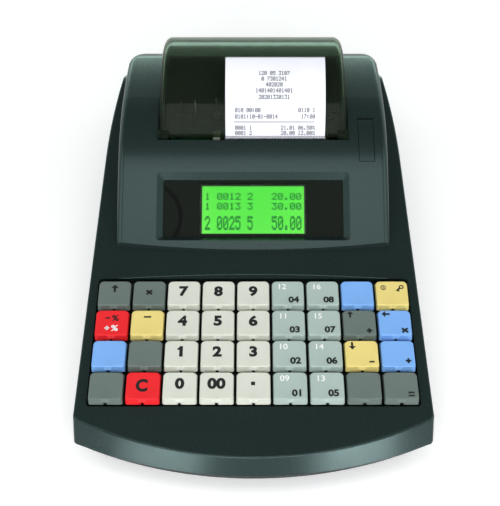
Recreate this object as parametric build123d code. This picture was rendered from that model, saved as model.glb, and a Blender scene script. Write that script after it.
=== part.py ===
from build123d import *
from functools import lru_cache
import math
import os

os.makedirs("parts", exist_ok=True)

# A portable ticket register: a wedge-shaped case with 36 keys in a sunk well, a raised
# hump with a display window, and a thermal receipt printer under a smoked domed cover.
# Millimetres, +Z up, the user sits at -Y, the origin is the middle of the footprint.

# ---------------------------------------------------------------- driving dimensions
case_depth = 287.2            # front edge to rear wall, on the centre line
case_front_width = 185.0      # across the two front corners
case_waist_width = 180.0      # across the sides where the rear corners begin
case_wall = 2.4
waist_from_front = 199.6      # front edge to the widest-to-rear change of side line
shoulder_width = 165.2        # across the rear corners, before they are rounded
rear_bow_radius = 490.0       # plan radius of the rear wall
front_radius = 228.7          # plan radius of the bowed front edge
front_corner_radius = 3.0
least_radius = 0.5            # of an inner corner
rear_corner_radius = 14.0
parting_height = 18.3         # joint line between upper and lower case
band_run = 5.2                # the bevelled front band, seen from the side
band_rise = 9.2
deck_tilt = 7.0
deck_rear_radius = 22.0       # how the deck rolls down into the rear wall
roll_past_wall = 0.8          # deck and hump roll on to this far behind the rear wall
case_edge_radius = 1.2
split_gap = 0.3               # between parts of different bodies that nearly touch

shadow_line = 0.8             # the lower case is set in by this much at the joint
tongue_height = 2.0
tuck_height = 15.3            # lower case, floor to joint line
tuck_angle = 24.0             # its walls lean in towards the floor
case_floor = 2.4
post_wall = 1.2
foot_radius = 6.5
foot_seat = 0.8
foot_spacing_x = 136.0
foot_front_inset = 38.0
foot_rear_inset = 30.0

hump_width = 157.0
hump_from_front = 130.5       # front edge of case to foot of the hump
hump_front_radius = 800.0
hump_lip = 1.7                # small upright step where the hump leaves the deck
hump_face_tilt = 31.5
hump_face_length = 48.0       # straight part of the sloping face
hump_brow_radius = 92.0       # face rolls into the crest
hump_back_radius = 230.0
hump_back_angle = 11.3
hump_rear_corner = 25.0
hump_edge_radius = 4.0

key_pitch = 19.05
key_columns = 9
key_rows = 4
key_base = 17.4
key_top = 15.8
key_height = 7.5
key_corner = 1.2
key_top_corner = 2.0
key_front_run = 1.3
key_edge = 0.5
key_rear_run = 0.3
key_shell = 1.1
key_foot = -0.2               # skirt of the keycap, against the deck
key_travel = 2.5
stem_size = 7.0
stem_wall = 0.6
stem_clearance = 0.1
snap_reach = 0.5
snap_height = 0.9
snap_width = 3.0
snap_gap = 0.2
chimney_wall = 1.2
chimney_height = 3.0
notch_width = 2.4
notch_height = 1.0
notch_depth = 0.5

well_from_front = 33.2        # front edge of case to the near wall of the key well
well_front_margin = 1.3
well_rear_margin = 3.5
well_side_margin = 1.3
well_depth = 4.0              # deck to the key guide
well_corner = 2.0
well_rim = 1.6
guide_thickness = 2.0
guide_lip = 7.0               # how far the guide runs out past the well, front and rear
guide_to_mat = 4.2
mat_sheet = 0.8
dome_height = 2.2
dome_radius = 2.6
dome_tip_radius = 1.5
board_thickness = 1.6
keyboard_screw_spacing = 150.0
keyboard_screw_grip = 2.4

window_width = 103.7
window_height = 33.7
window_thickness = 1.5
window_ledge = 1.6
window_gap = 0.1
window_corner = 1.0
window_from_lip = 7.9         # along the face, foot of the hump to the near edge of glass
recess_depth = 3.0
recess_side = 3.6
recess_top = 4.2
recess_bottom = 2.6
recess_backing = 1.6
lcd_width = 59.3
lcd_height = 28.4
lcd_frame = 4.5
lcd_thickness = 5.5
lcd_sight_depth = 0.8
lcd_board_width = 84.0
lcd_board_height = 40.0
lcd_post_x = 38.5
lcd_post_y = 16.5
lcd_post_radius = 2.6

cover_width = 110.8
cover_front_from_rear = 97.0  # rear wall to the front edge of the cover
cover_height = 98.2           # top of the dome above the table
cover_wall = 1.8
cover_edge_radius = 5.0
cover_skirt = 1.6             # how far its sides go down inside the opening
cover_gap = 0.5
cover_crest_from_rear = 47.9
cover_ramp_tilt = 31.0
cover_dome_radius = 64.0
cover_tail = 4.2              # how far the cover reaches behind its hinge
cover_tail_drop = 5.4         # and below it
cover_rear_gap = 1.4
cover_tail_tilt = 85.0
cover_tab_width = 6.0         # finger tabs at its two front corners
cover_tab_reach = 1.6
cover_tab_height = 2.6
cover_pin_radius = 1.3
cover_pin_reach = 3.0
cover_ledge = 1.9
slot_width = 3.0
collar_depth = 4.6
ear_thickness = 4.2
ear_radius = 4.2
hinge_from_rear = 10.6
hinge_height = 71.2

paper_width = 58.0
paper_offset = 12.9           # the paper runs right of the centre line
paper_thickness = 0.25
roll_radius = 24.0
core_radius = 6.0
roll_from_rear = 46.9
roll_height = 60.0
tub_radius = 26.0
tub_wall = 1.8
tub_side_gap = 0.9
cheek_thickness = 2.0
cheek_front_from_platen = 8.9
tub_rim_height = 71.0
frame_foot_reach = 7.0        # mounting ears outside the cheeks
frame_foot_front = 22.0
frame_foot_rear = 18.0
frame_foot_thickness = 2.0
tub_lip_angle = 30.0          # front lip of the tub, above its lowest point
platen_radius = 5.0
platen_shaft_radius = 1.5
platen_from_rear = 92.4
platen_height = 67.5
bearing_clearance = 0.05
head_thickness = 3.2
head_below = 7.5              # edges of the head plate, from the middle of the platen
head_above = 5.6
tear_bar_thickness = 1.0
tear_bar_height = 5.8
tear_tooth = 1.6
tear_bar_set = 0.9            # its back face, in front of the platen
fin_pitch = 6.0
fin_margin = 2.0
slip_foot = 78.3              # height at which the receipt leaves the slot
slip_radius = 45.3
slip_lean = 73.9              # its slope where it leaves the slot
slip_turn = 61.5

gear_module = 0.8
platen_teeth = 18
idler_teeth = 22
pinion_teeth = 10
gear_addendum = 0.9
gear_dedendum = 1.15
gear_root_share = 0.29        # half of a tooth, as shares of the pitch at root and tip
gear_tip_share = 0.11
gear_width = 4.0
gear_gap = 0.5
motor_radius = 10.0
motor_length = 17.0
motor_shaft_radius = 1.0
motor_shaft_reach = 6.0
motor_from_rear = 87.0
motor_height = 44.5

door_width = 8.6
door_length = 25.0
door_centre_x = 65.95
door_front_from_rear = 112.1
door_thickness = 1.5
door_pin_radius = 0.7
door_pin_length = 0.9
door_round_gap = 0.02         # keeps the rounded rear end just under the skin
pocket_depth = 9.5
pocket_wall = 1.6
card_slot_width = 2.6
card_slot_length = 20.0
pocket_ledge = 1.5

screw_radius = 1.45
screw_head_radius = 2.8
screw_head_height = 2.0
screw_hole_clearance = 0.25
boss_radius = 3.6
case_screw_front_x = 45.0
case_screw_front_inset = 19.1
case_screw_rear_x = 68.0
case_screw_rear_inset = 30.0
case_screw_grip = 7.0
case_screw_seat = 7.5         # shoulder that the head pulls against, above the floor
boss_split_height = 19.5
deck_skin = 1.0               # left over the end of a blind screw hole

main_board_width = 110.0
main_board_depth = 128.0
main_board_rear_gap = 10.0
board_post_inset = 6.0
post_radius = 3.2
socket_depth = 16.0
socket_set_in = 0.8
socket_mouth_depth = 10.0
socket_wall = 1.6
power_pin_radius = 1.0
socket_heights = {"power": 11.0, "drawer": 12.5, "serial": 13.5}
socket_widths = {"power": 9.0, "drawer": 13.0, "serial": 16.0}
socket_places = {"power": -44.0, "drawer": -18.0, "serial": 10.0}
socket_clearance = 0.4
# components on the main board: left edge, distance from its rear edge, width, depth, height
board_parts = [(-8.0, 62.0, 22.0, 22.0, 2.6), (24.0, 70.0, 20.0, 14.0, 2.6),
               (-46.0, 40.0, 14.0, 10.0, 9.0), (-48.0, 96.0, 24.0, 16.0, 4.5),
               (10.0, 108.0, 30.0, 8.0, 6.0)]

# ---------------------------------------------------------------- worked-out places
front_y = -case_depth / 2
rear_y = case_depth / 2
reach = case_depth            # half-size of the blocks used for cutting
tall = 2 * cover_height
tilt_run = math.cos(math.radians(deck_tilt))
tilt_rise = math.sin(math.radians(deck_tilt))


def deck_z(y):
    """Height of the deck plane at a place along the depth."""
    lip_z = parting_height + band_rise
    return lip_z + (y - front_y - band_run) * tilt_rise / tilt_run


def deck_plane(x, y):
    """A plane lying on the deck, its own y running up the slope."""
    return Plane(origin=(x, y, deck_z(y)), x_dir=(1, 0, 0), z_dir=(0, -tilt_rise, tilt_run))


well_y = front_y + well_from_front
well_length = well_front_margin + (key_rows - 1) * key_pitch + key_base + well_rear_margin
well_width = (key_columns - 1) * key_pitch + key_base + 2 * well_side_margin
keyboard = deck_plane(0, well_y)       # local y = 0 at the near wall of the well
guide_top = -well_depth
guide_bottom = guide_top - guide_thickness
mat_top = guide_bottom - guide_to_mat
mat_bottom = mat_top - mat_sheet
keyboard_board_bottom = mat_bottom - board_thickness
tray_width = well_width + 2 * well_rim
tray_length = well_length + 2 * guide_lip
tray_middle = well_length / 2
keyboard_screws = [(x, y) for y in (-guide_lip / 2, well_length + guide_lip / 2)
                   for x in (-keyboard_screw_spacing / 2, 0, keyboard_screw_spacing / 2)]

hump_y = front_y + hump_from_front
hump_foot = (hump_y, deck_z(hump_y) + hump_lip)
face_direction = (math.cos(math.radians(hump_face_tilt)), math.sin(math.radians(hump_face_tilt)))
face = Plane(origin=(0, hump_foot[0], hump_foot[1]), x_dir=(1, 0, 0),
             z_dir=(0, -face_direction[1], face_direction[0]))
window_middle = window_from_lip + window_height / 2

hinge = (rear_y - hinge_from_rear, hinge_height)
cover_front = rear_y - cover_front_from_rear
roll = (rear_y - roll_from_rear, roll_height)
tub = (roll[0], roll[1] + tub_radius - roll_radius - split_gap)
platen = (rear_y - platen_from_rear, platen_height)
motor = (rear_y - motor_from_rear, motor_height)
paper_left = paper_offset - paper_width / 2
paper_right = paper_offset + paper_width / 2
cheek_left = paper_left - tub_side_gap
cheek_right = paper_right + tub_side_gap
frame_bottom = tub[1] - tub_radius - tub_wall
board_top = parting_height
board_bottom = board_top - board_thickness


def save(part, name):
    """Name one piece and write it to its own file."""
    part.label = name
    export_step(part, f"parts/{name}.step")


def block(x0, x1, y0, y1, z0, z1):
    """A box given by its two corners."""
    centre = ((x0 + x1) / 2, (y0 + y1) / 2, (z0 + z1) / 2)
    return Pos(*centre) * Box(abs(x1 - x0), abs(y1 - y0), abs(z1 - z0))


def rod(x0, x1, axis, radius):
    """A round bar along X about an axis given as (y, z)."""
    middle = Pos((x0 + x1) / 2, axis[0], axis[1])
    return middle * Rot(0, 90, 0) * Cylinder(radius, abs(x1 - x0))


def side_prism(outline, x0, x1):
    """A side profile in Y and Z, drawn as a wire, carried from x0 to x1."""
    profile = make_face(Plane.YZ.offset(x0) * outline)
    return extrude(profile, amount=x1 - x0, dir=(1, 0, 0))


# ---------------------------------------------------------------- outer forms
def rear_wall_y(x, inset=0):
    """Where the bowed rear wall stands at a place across the case."""
    return rear_y - rear_bow_radius + math.sqrt((rear_bow_radius - inset)**2 - x**2)


def case_plan(inset, bowed=True):
    """Plan outline of the case: bowed front, straight sides, drawn-in rear corners.

    Without its bow, the sides run straight on, for the front cone to cut off.
    """
    half_front = case_front_width / 2 - inset
    half_waist = case_waist_width / 2 - inset
    half_rear = shoulder_width / 2 - inset
    front = front_y + inset
    rear = rear_y - inset
    arc_centre = front_y + front_radius
    corner_y = arc_centre - math.sqrt((front_radius - inset)**2 - half_front**2)
    waist_y = front_y + waist_from_front
    shoulder_y = rear_wall_y(half_rear, inset)
    run = math.hypot(waist_y - corner_y, half_front - half_waist)
    side = ((half_waist - half_front) / run, (waist_y - corner_y) / run)
    if bowed:
        start = (half_front, corner_y)
        bow = ThreePointArc((-half_front, corner_y), (0, front), start)
    else:
        start = (half_front - reach * side[0], corner_y - reach * side[1])
        bow = Line((-start[0], start[1]), start)
    right = Line(start, (half_waist, waist_y))
    right_rear = TangentArc((half_waist, waist_y), (half_rear, shoulder_y), tangent=side)
    back = ThreePointArc((half_rear, shoulder_y), (0, rear), (-half_rear, shoulder_y))
    left_rear = mirror(right_rear, about=Plane.YZ)
    left = mirror(right, about=Plane.YZ)
    plan = make_face([bow, right, right_rear, back, left_rear, left])
    if bowed:
        corners = plan.vertices().sort_by(Axis.Y)
        plan = fillet(corners[:2], max(front_corner_radius - inset, least_radius))
    corners = [v for v in plan.vertices() if abs(v.Y - shoulder_y) < 0.01]
    return fillet(corners, rear_corner_radius - inset)


def front_cone(inset):
    """The upright cone whose surface is the bevelled band across the front."""
    base_radius = front_radius - inset
    slope = band_run / band_rise
    top_radius = base_radius - slope * tall
    cone = Cone(base_radius, top_radius, tall, align=(Align.CENTER, Align.CENTER, Align.MIN))
    return Pos(0, front_y + front_radius, parting_height) * cone


@lru_cache
def deck_roll(inset):
    """All that lies under the tilted deck and under the round it rolls down in at the rear."""
    drop = inset / tilt_run
    radius = deck_rear_radius - inset
    end_y = rear_y + roll_past_wall - inset
    start_y = end_y - radius * (1 + tilt_rise)
    start = (start_y, deck_z(start_y) - drop)
    near = (front_y - reach, deck_z(front_y - reach) - drop)
    roll_down = JernArc(start, (tilt_run, tilt_rise), radius, -(90 + deck_tilt))
    end = roll_down @ 1
    low = -tall
    outline = [Line(near, start), roll_down, Line(end, (end.X, low)),
               Line((end.X, low), (near[0], low)), Line((near[0], low), near)]
    return side_prism(Wire(outline), -reach, reach)


@lru_cache
def wedge(inset):
    """The low wedge of the case, under its tilted deck."""
    column = Pos(0, 0, parting_height) * extrude(case_plan(inset, bowed=False), tall)
    return deck_roll(inset) & column & front_cone(inset)


def rounded_wedge():
    """The outer wedge with a soft edge all round its deck."""
    near, far = front_y - reach, rear_y + reach
    corners = [(near, deck_z(near)), (far, deck_z(far)), (far, -tall), (near, -tall)]
    below_deck = side_prism(Wire([Line(a, b) for a, b in zip(corners, corners[1:] + corners[:1])]),
                            -reach, reach)
    column = Pos(0, 0, parting_height) * extrude(case_plan(0, bowed=False), tall)
    form = below_deck & column & front_cone(0)
    corners = [e for e in form.edges()
               if e.center().Y < 0 and abs(e.tangent_at(0.5).Z) > tilt_run / 2]
    form = fillet(corners, front_corner_radius)
    deck = form.faces().sort_by(Axis.Z)[-1]
    return fillet(deck.edges(), case_edge_radius) & deck_roll(0)


def hump_profile(inset):
    """Side view of the hump's skin: sloping face, brow, long back, rear corner."""
    normal = (-face_direction[1], face_direction[0])
    start = (hump_foot[0] - inset * normal[0], hump_foot[1] - inset * normal[1])
    ahead = (start[0] - hump_face_length * face_direction[0],
             start[1] - hump_face_length * face_direction[1])
    brow_start = (start[0] + hump_face_length * face_direction[0],
                  start[1] + hump_face_length * face_direction[1])
    brow = JernArc(brow_start, face_direction, hump_brow_radius - inset, -hump_face_tilt)
    back = JernArc(brow @ 1, (1, 0), hump_back_radius - inset, -hump_back_angle)
    back_end = back @ 1
    fall = math.radians(hump_back_angle)
    rear_radius = (rear_y + roll_past_wall - inset - back_end.X) / (1 - math.sin(fall))
    corner = JernArc(back_end, (math.cos(fall), -math.sin(fall)), rear_radius,
                     -(90 - hump_back_angle))
    return ahead, brow_start, [brow, back, corner]


def hump_plan(inset):
    """Plan outline of the hump."""
    half = hump_width / 2 - inset
    front = hump_y + inset
    corner_y = front + hump_front_radius - math.sqrt(hump_front_radius**2 - half**2)
    rear_half_y = rear_wall_y(half, inset)
    rear = ThreePointArc((half, rear_half_y), (0, rear_y - inset), (-half, rear_half_y))
    outline = [ThreePointArc((-half, corner_y), (0, front), (half, corner_y)),
               Line((half, corner_y), (half, rear_half_y)), rear,
               Line((-half, rear_half_y), (-half, corner_y))]
    plan = make_face(outline)
    corners = [v for v in plan.vertices() if abs(v.Y - rear_half_y) < 0.01]
    return fillet(corners, hump_rear_corner - inset)


@lru_cache
def hump(inset):
    """The raised hump that holds the display and the printer."""
    ahead, brow_start, arcs = hump_profile(inset)
    end = arcs[-1] @ 1
    low = -tall
    outline = [Line(ahead, brow_start), *arcs, Line(end, (end.X, low)),
               Line((end.X, low), (ahead[0], low)), Line((ahead[0], low), ahead)]
    slab = side_prism(Wire(outline), -reach, reach)
    column = Pos(0, 0, parting_height) * extrude(hump_plan(inset), tall)
    return slab & column


# ---------------------------------------------------------------- helpers for the pieces
def brow_centre():
    """Centre of the brow arc, as (y, z)."""
    end_y = hump_foot[0] + hump_face_length * face_direction[0]
    end_z = hump_foot[1] + hump_face_length * face_direction[1]
    return (end_y + hump_brow_radius * face_direction[1],
            end_z - hump_brow_radius * face_direction[0])


def brow_point(y, depth):
    """The point a given depth under the brow, below the place y on its skin."""
    centre_y, centre_z = brow_centre()
    rise = math.sqrt(hump_brow_radius**2 - (y - centre_y)**2)
    share = (hump_brow_radius - depth) / hump_brow_radius
    return centre_y + (y - centre_y) * share, centre_z + rise * share


def hump_layer(outer_inset, inner_inset, cutter):
    """The part of the hump between two depths below its skin that lies in a block."""
    return (hump(outer_inset) & cutter) - hump(inner_inset)


def column(x0, x1, y0, y1):
    """A tall block over a place on the hump."""
    return block(x0, x1, y0, y1, parting_height, tall)


def tilted_plate(length_x, length_y, middle_y, low, high, corner):
    """A flat plate lying parallel to the deck, between two depths below it."""
    outline = Plane.XY.offset(low) * Pos(0, middle_y) * RectangleRounded(length_x, length_y, corner)
    return keyboard.location * extrude(outline, high - low)


def tilted_post(x, y, low, high, radius):
    """A round post or hole square to the deck."""
    outline = Plane.XY.offset(low) * Pos(x, y) * Circle(radius)
    return keyboard.location * extrude(outline, high - low)


def upright(x, y, low, high, radius):
    """A round post or hole standing along Z."""
    return Pos(x, y, (low + high) / 2) * Cylinder(radius, high - low)


pilot_radius = screw_radius + bearing_clearance
pass_radius = screw_radius + screw_hole_clearance
case_screws_at = [(side * case_screw_front_x, front_y + case_screw_front_inset)
                  for side in (-1, 1)]
case_screws_at += [(side * case_screw_rear_x, rear_y - case_screw_rear_inset)
                   for side in (-1, 1)]
frame_screws_at = [(x, y) for x in (cheek_left - frame_foot_reach, cheek_right + frame_foot_reach)
                   for y in (roll[0] - frame_foot_front, roll[0] + frame_foot_rear)]
opening_half = cover_width / 2 + cover_gap
opening_front = cover_front - slot_width
opening_rear = hinge[0] + cover_tail + cover_rear_gap
window_near = window_middle - window_height / 2 - recess_bottom
window_far = window_middle + window_height / 2 + recess_top
window_back = recess_depth + window_thickness + recess_backing
door_left = door_centre_x - door_width / 2
door_right = door_centre_x + door_width / 2
door_front = rear_y - door_front_from_rear
door_axis = brow_point(door_front + door_length, door_thickness)
pocket_rear = door_axis[0] + door_thickness + split_gap


def mesh_angle(a, b):
    """Direction from one gear's axis to another's, in degrees."""
    return math.degrees(math.atan2(b[1] - a[1], b[0] - a[0]))


def meet(a, a_reach, b, b_reach):
    """The point at given distances from two axes, on the side away from the user."""
    span = math.hypot(b[0] - a[0], b[1] - a[1])
    along = (span**2 + a_reach**2 - b_reach**2) / (2 * span)
    aside = math.sqrt(a_reach**2 - along**2)
    ux, uz = (b[0] - a[0]) / span, (b[1] - a[1]) / span
    return a[0] + along * ux + aside * uz, a[1] + along * uz - aside * ux


idler = meet(motor, gear_module * (pinion_teeth + idler_teeth) / 2,
             platen, gear_module * (platen_teeth + idler_teeth) / 2)
platen_phase = mesh_angle(platen, idler)
idler_phase = mesh_angle(idler, platen) + 180 / idler_teeth
idler_share = (mesh_angle(idler, motor) - idler_phase) * idler_teeth / 360
pinion_phase = mesh_angle(motor, idler) + (idler_share % 1 + 0.5) * 360 / pinion_teeth
all_keys = [((place - (key_columns - 1) / 2) * key_pitch,
             well_front_margin + key_base / 2 + row * key_pitch)
            for row in range(key_rows) for place in range(key_columns)]
feet_at = [(side * foot_spacing_x / 2, y) for side in (-1, 1)
           for y in (front_y + foot_front_inset, rear_y - foot_rear_inset)]
board_rear = rear_y - main_board_rear_gap
board_posts_at = [(side * (main_board_width / 2 - board_post_inset), y) for side in (-1, 1)
                  for y in (board_rear - main_board_depth + board_post_inset,
                            board_rear - 2 * board_post_inset)]


# ---------------------------------------------------------------- upper case
def rounded_hump():
    """The hump's outer form with its top edges rounded over."""
    form = hump(0)
    edges = [e for e in form.edges()
             if abs(e.center().X) > hump_width / 2 - rear_corner_radius
             and e.center().Z > parting_height + 1
             and abs(e.tangent_at(0.5).Z) < 0.99]
    return fillet(edges, hump_edge_radius)


def window_pocket():
    """The bevelled display recess, the seat of its window and the hole behind it."""
    mouth = face * Pos(0, (window_near + window_far) / 2) * RectangleRounded(
        window_width + 2 * recess_side, window_far - window_near, well_corner)
    floor = face.offset(-recess_depth) * Pos(0, window_middle) * RectangleRounded(
        window_width + 2 * window_gap, window_height + 2 * window_gap, window_corner)
    hole = face.offset(-recess_depth) * Pos(0, window_middle) * Rectangle(
        window_width - 2 * window_ledge, window_height - 2 * window_ledge)
    bevel = loft([floor.face(), mouth.face()])
    seat = extrude(floor, -window_thickness)
    return bevel + seat + extrude(hole, -(recess_depth + window_back))


def window_backing():
    """The thick pad behind the display recess, with the four posts of its board."""
    pad = face.offset(-case_wall / 2) * Pos(0, (window_near + window_far) / 2) * Rectangle(
        window_width + 2 * recess_side, window_far - window_near)
    pad = extrude(pad, -(window_back - case_wall / 2))
    for x in (-lcd_post_x, lcd_post_x):
        for y in (window_middle - lcd_post_y, window_middle + lcd_post_y):
            post = face.offset(-window_back) * Pos(x, y) * Circle(lcd_post_radius)
            pad += extrude(post, -lcd_thickness)
    return pad


def add_key_well(shell):
    """A rimmed well for the keys, and the bosses that the key guide screws up to."""
    rim_width = well_width + 2 * well_rim
    rim_length = well_length + 2 * well_rim
    shell += tilted_plate(rim_width, rim_length, tray_middle, guide_top, -case_wall / 2,
                          well_corner)
    for x, y in keyboard_screws:
        shell += tilted_post(x, y, guide_top, -case_wall / 2, screw_head_radius)
        shell -= tilted_post(x, y, guide_top, -deck_skin, pilot_radius)
    return shell - tilted_plate(well_width, well_length, tray_middle, guide_top, well_depth,
                                well_corner)


def add_printer_opening(shell):
    """The opening under the cover: collars and ledges at its sides, ears for the pins."""
    low = hinge[1] - 2 * collar_depth
    for side in (-1, 1):
        wall = side * opening_half
        outside = wall + side * well_rim
        collar = block(wall, outside, opening_front, opening_rear, low, tall)
        shell += hump_layer(case_wall / 2, collar_depth, collar)
        ear = block(wall, wall + side * ear_thickness, hinge[0] - ear_radius,
                    hinge[0] + ear_radius, hinge[1] - ear_radius, tall)
        shell += hump(case_wall / 2) & ear
    shell -= block(-opening_half, opening_half, opening_front, opening_rear, low, tall)
    for side in (-1, 1):
        wall = side * opening_half
        inside = wall - side * cover_ledge
        ledge = column(inside, wall, opening_front, hinge[0] - 2 * ear_radius)
        shell += hump_layer(cover_skirt + split_gap, collar_depth, ledge)
    span = opening_half + cover_pin_reach + split_gap
    return shell - rod(-span, span, hinge, cover_pin_radius + bearing_clearance)


def add_card_pocket(shell):
    """The pocket under the card door: walls, slotted floor, front ledge, pin holes."""
    left = door_left - split_gap
    right = door_right + split_gap
    front = door_front - split_gap
    walls = column(left - pocket_wall, right + pocket_wall, front - pocket_wall,
                   pocket_rear + pocket_wall)
    shell += hump_layer(case_wall / 2, pocket_depth + pocket_wall, walls)
    shell -= column(left, right, front, pocket_rear) - hump(pocket_depth)
    middle = (front + pocket_rear) / 2
    shell -= block(door_centre_x - card_slot_width / 2, door_centre_x + card_slot_width / 2,
                   middle - card_slot_length / 2, middle + card_slot_length / 2,
                   parting_height + collar_depth, tall)
    ledge = column(left, right, front, front + pocket_ledge)
    shell += hump_layer(door_thickness + split_gap, pocket_depth, ledge)
    span = door_pin_length + bearing_clearance
    return shell - rod(door_left - span, door_right + span, door_axis,
                       door_pin_radius + bearing_clearance)


def upper_case():
    """Upper shell: the deck with its key well, and the hump with its openings."""
    shell = rounded_wedge() + rounded_hump() - wedge(case_wall) - hump(case_wall)
    shell = add_key_well(shell)
    shell += window_backing()
    shell -= window_pocket()
    shell = add_printer_opening(shell)
    shell = add_card_pocket(shell)
    for x, y in case_screws_at:
        under = wedge(case_wall / 2) if y < hump_y else hump(case_wall / 2)
        boss = upright(x, y, boss_split_height, tall, boss_radius)
        shell += boss & under
        shell -= upright(x, y, boss_split_height, boss_split_height + case_screw_grip,
                         pilot_radius)
    for name, x in socket_places.items():
        half = socket_widths[name] / 2 + socket_clearance
        shell -= block(x - half, x + half, rear_y - socket_depth, rear_y + case_wall,
                       parting_height, board_top + socket_heights[name] + socket_clearance)
    return shell


# ---------------------------------------------------------------- lower case
def tapered_tray(inset, depth):
    """The tucked-in form of the lower case, from the joint line down."""
    tuck = depth * math.tan(math.radians(tuck_angle))
    rim = Pos(0, 0, parting_height) * case_plan(inset)
    floor = Pos(0, 0, parting_height - depth) * case_plan(inset + tuck)
    return loft([floor.face(), rim.face()], ruled=True)


def lower_case():
    """Lower shell: tapered tray with its floor, screw posts, board posts and foot seats."""
    floor_z = parting_height - tuck_height
    floor_top = floor_z + case_floor
    outer = tapered_tray(shadow_line, tuck_height)
    shell = outer - tapered_tray(shadow_line + case_wall, tuck_height - case_floor)
    tongue = extrude(Pos(0, 0, parting_height) * case_plan(case_wall + split_gap), tongue_height)
    tongue -= extrude(Pos(0, 0, parting_height)
                      * case_plan(case_wall + split_gap + post_wall), tongue_height)
    shell += tongue & front_cone(case_wall + split_gap)
    head_well = screw_head_radius + screw_hole_clearance
    for x, y in case_screws_at:
        post = upright(x, y, floor_z, boss_split_height, head_well + post_wall)
        shell += post & (outer + upright(x, y, parting_height, tall, 2 * boss_radius))
        shell -= upright(x, y, floor_z, floor_top + case_screw_seat, head_well)
        shell -= upright(x, y, floor_top, tall, pass_radius)
    for x, y in frame_screws_at:
        shell += upright(x, y, floor_top - deck_skin, frame_bottom, post_radius)
        shell -= upright(x, y, frame_bottom - case_screw_grip, frame_bottom, pilot_radius)
    for x, y in board_posts_at:
        shell += upright(x, y, floor_top - deck_skin, board_bottom, post_radius)
    for x, y in feet_at:
        shell -= upright(x, y, floor_z, floor_z + foot_seat, foot_radius)
    for name, x in socket_places.items():
        half = socket_widths[name] / 2 + socket_clearance
        shell -= block(x - half, x + half, rear_y - socket_depth, rear_y,
                       parting_height, parting_height + tongue_height)
    return shell


def rubber_feet():
    """Four round rubber feet, pressed into their seats in the floor."""
    floor_z = parting_height - tuck_height
    return Compound([chamfer(upright(x, y, 0, floor_z + foot_seat, foot_radius).edges()
                             .group_by(Axis.Z)[0], foot_seat) for x, y in feet_at])


# ---------------------------------------------------------------- keyboard
def keycap():
    """One keycap on its square stem, its origin on the deck at the middle of its foot."""
    crown_depth = key_base - key_front_run - key_rear_run
    crown_shift = (key_front_run - key_rear_run) / 2
    foot = Plane.XY.offset(key_foot) * RectangleRounded(key_base, key_base, key_corner)
    crown = Plane.XY.offset(key_height) * Pos(0, crown_shift) * RectangleRounded(
        key_top, crown_depth, key_top_corner)
    cap = loft([foot.face(), crown.face()])
    cap = chamfer(cap.edges().group_by(Axis.Z)[-1], key_edge)
    ceiling = key_height - key_shell
    inner = key_top - 2 * key_shell
    hollow = Plane.XY.offset(key_foot) * Pos(0, crown_shift) * Rectangle(inner, inner)
    cap -= extrude(hollow, ceiling - key_foot)
    half = key_base / 2
    cap -= block(-notch_width / 2, notch_width / 2, -half - notch_depth, -half + notch_depth,
                 key_foot, key_foot + notch_height)
    tip = guide_bottom - stem_clearance - snap_gap - snap_height
    cap += block(-stem_size / 2, stem_size / 2, -stem_size / 2, stem_size / 2, tip, ceiling)
    bore = stem_size / 2 - stem_wall
    cap -= block(-bore, bore, -bore, bore, tip, tip + 2 * dome_height)
    for side in (-1, 1):
        cap += block(side * bore, side * (stem_size / 2 + snap_reach), -snap_width / 2,
                     snap_width / 2, tip, tip + snap_height)
    return cap


def key_guide():
    """The guide plate under the keys, with a chimney round every stem."""
    hole = stem_size / 2 + stem_clearance
    guide = tilted_plate(tray_width, tray_length, tray_middle, guide_bottom, guide_top,
                         well_corner)
    guide += tilted_plate(tray_width, tray_length, tray_middle, mat_top, guide_bottom,
                          well_corner) - tilted_plate(
        tray_width - 2 * well_rim, tray_length - 2 * well_rim, tray_middle, mat_top,
        guide_bottom, well_corner)
    outer = hole + chimney_wall
    chimneys = [block(x - outer, x + outer, y - outer, y + outer, guide_top,
                      guide_top + chimney_height) for x, y in all_keys]
    holes = [block(x - hole, x + hole, y - hole, y + hole, mat_bottom, well_depth)
             for x, y in all_keys]
    guide += [keyboard.location * c for c in chimneys]
    guide -= [keyboard.location * h for h in holes]
    for x, y in keyboard_screws:
        guide += tilted_post(x, y, mat_top, guide_bottom, boss_radius)
        guide -= tilted_post(x, y, mat_top, guide_top, pass_radius)
    return guide


def dome_mat():
    """The silicone mat, one dome under each key."""
    mat = tilted_plate(tray_width, tray_length, tray_middle, mat_bottom, mat_top, well_corner)
    low = Align.CENTER, Align.CENTER, Align.MIN
    domes = [keyboard.location * Pos(x, y, mat_top) * Cone(dome_radius, dome_tip_radius,
                                                           dome_height, align=low)
             for x, y in all_keys]
    mat += domes
    return mat - [tilted_post(x, y, mat_bottom, mat_top, pass_radius) for x, y in keyboard_screws]


def keyboard_board():
    """The contact board under the mat."""
    board = tilted_plate(tray_width, tray_length, tray_middle, keyboard_board_bottom,
                         mat_bottom, well_corner)
    return board - [tilted_post(x, y, keyboard_board_bottom, mat_bottom, pass_radius)
                    for x, y in keyboard_screws]


# ---------------------------------------------------------------- display
def display_window():
    """The black glass in the recess of the hump."""
    outline = face.offset(-recess_depth - window_thickness) * Pos(0, window_middle)
    return extrude(outline * RectangleRounded(window_width, window_height, window_corner),
                   window_thickness)


def display_module():
    """Character display: framed glass on its board, held against the posts."""
    place = face.offset(-window_back - lcd_thickness) * Pos(0, window_middle)
    frame = extrude(place * Rectangle(lcd_width + 2 * lcd_frame, lcd_height + 2 * lcd_frame),
                    lcd_thickness)
    sight = face.offset(-window_back) * Pos(0, window_middle) * Rectangle(lcd_width, lcd_height)
    frame -= extrude(sight, -lcd_sight_depth)
    board = extrude(place * Rectangle(lcd_board_width, lcd_board_height), -board_thickness)
    return frame + board


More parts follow.
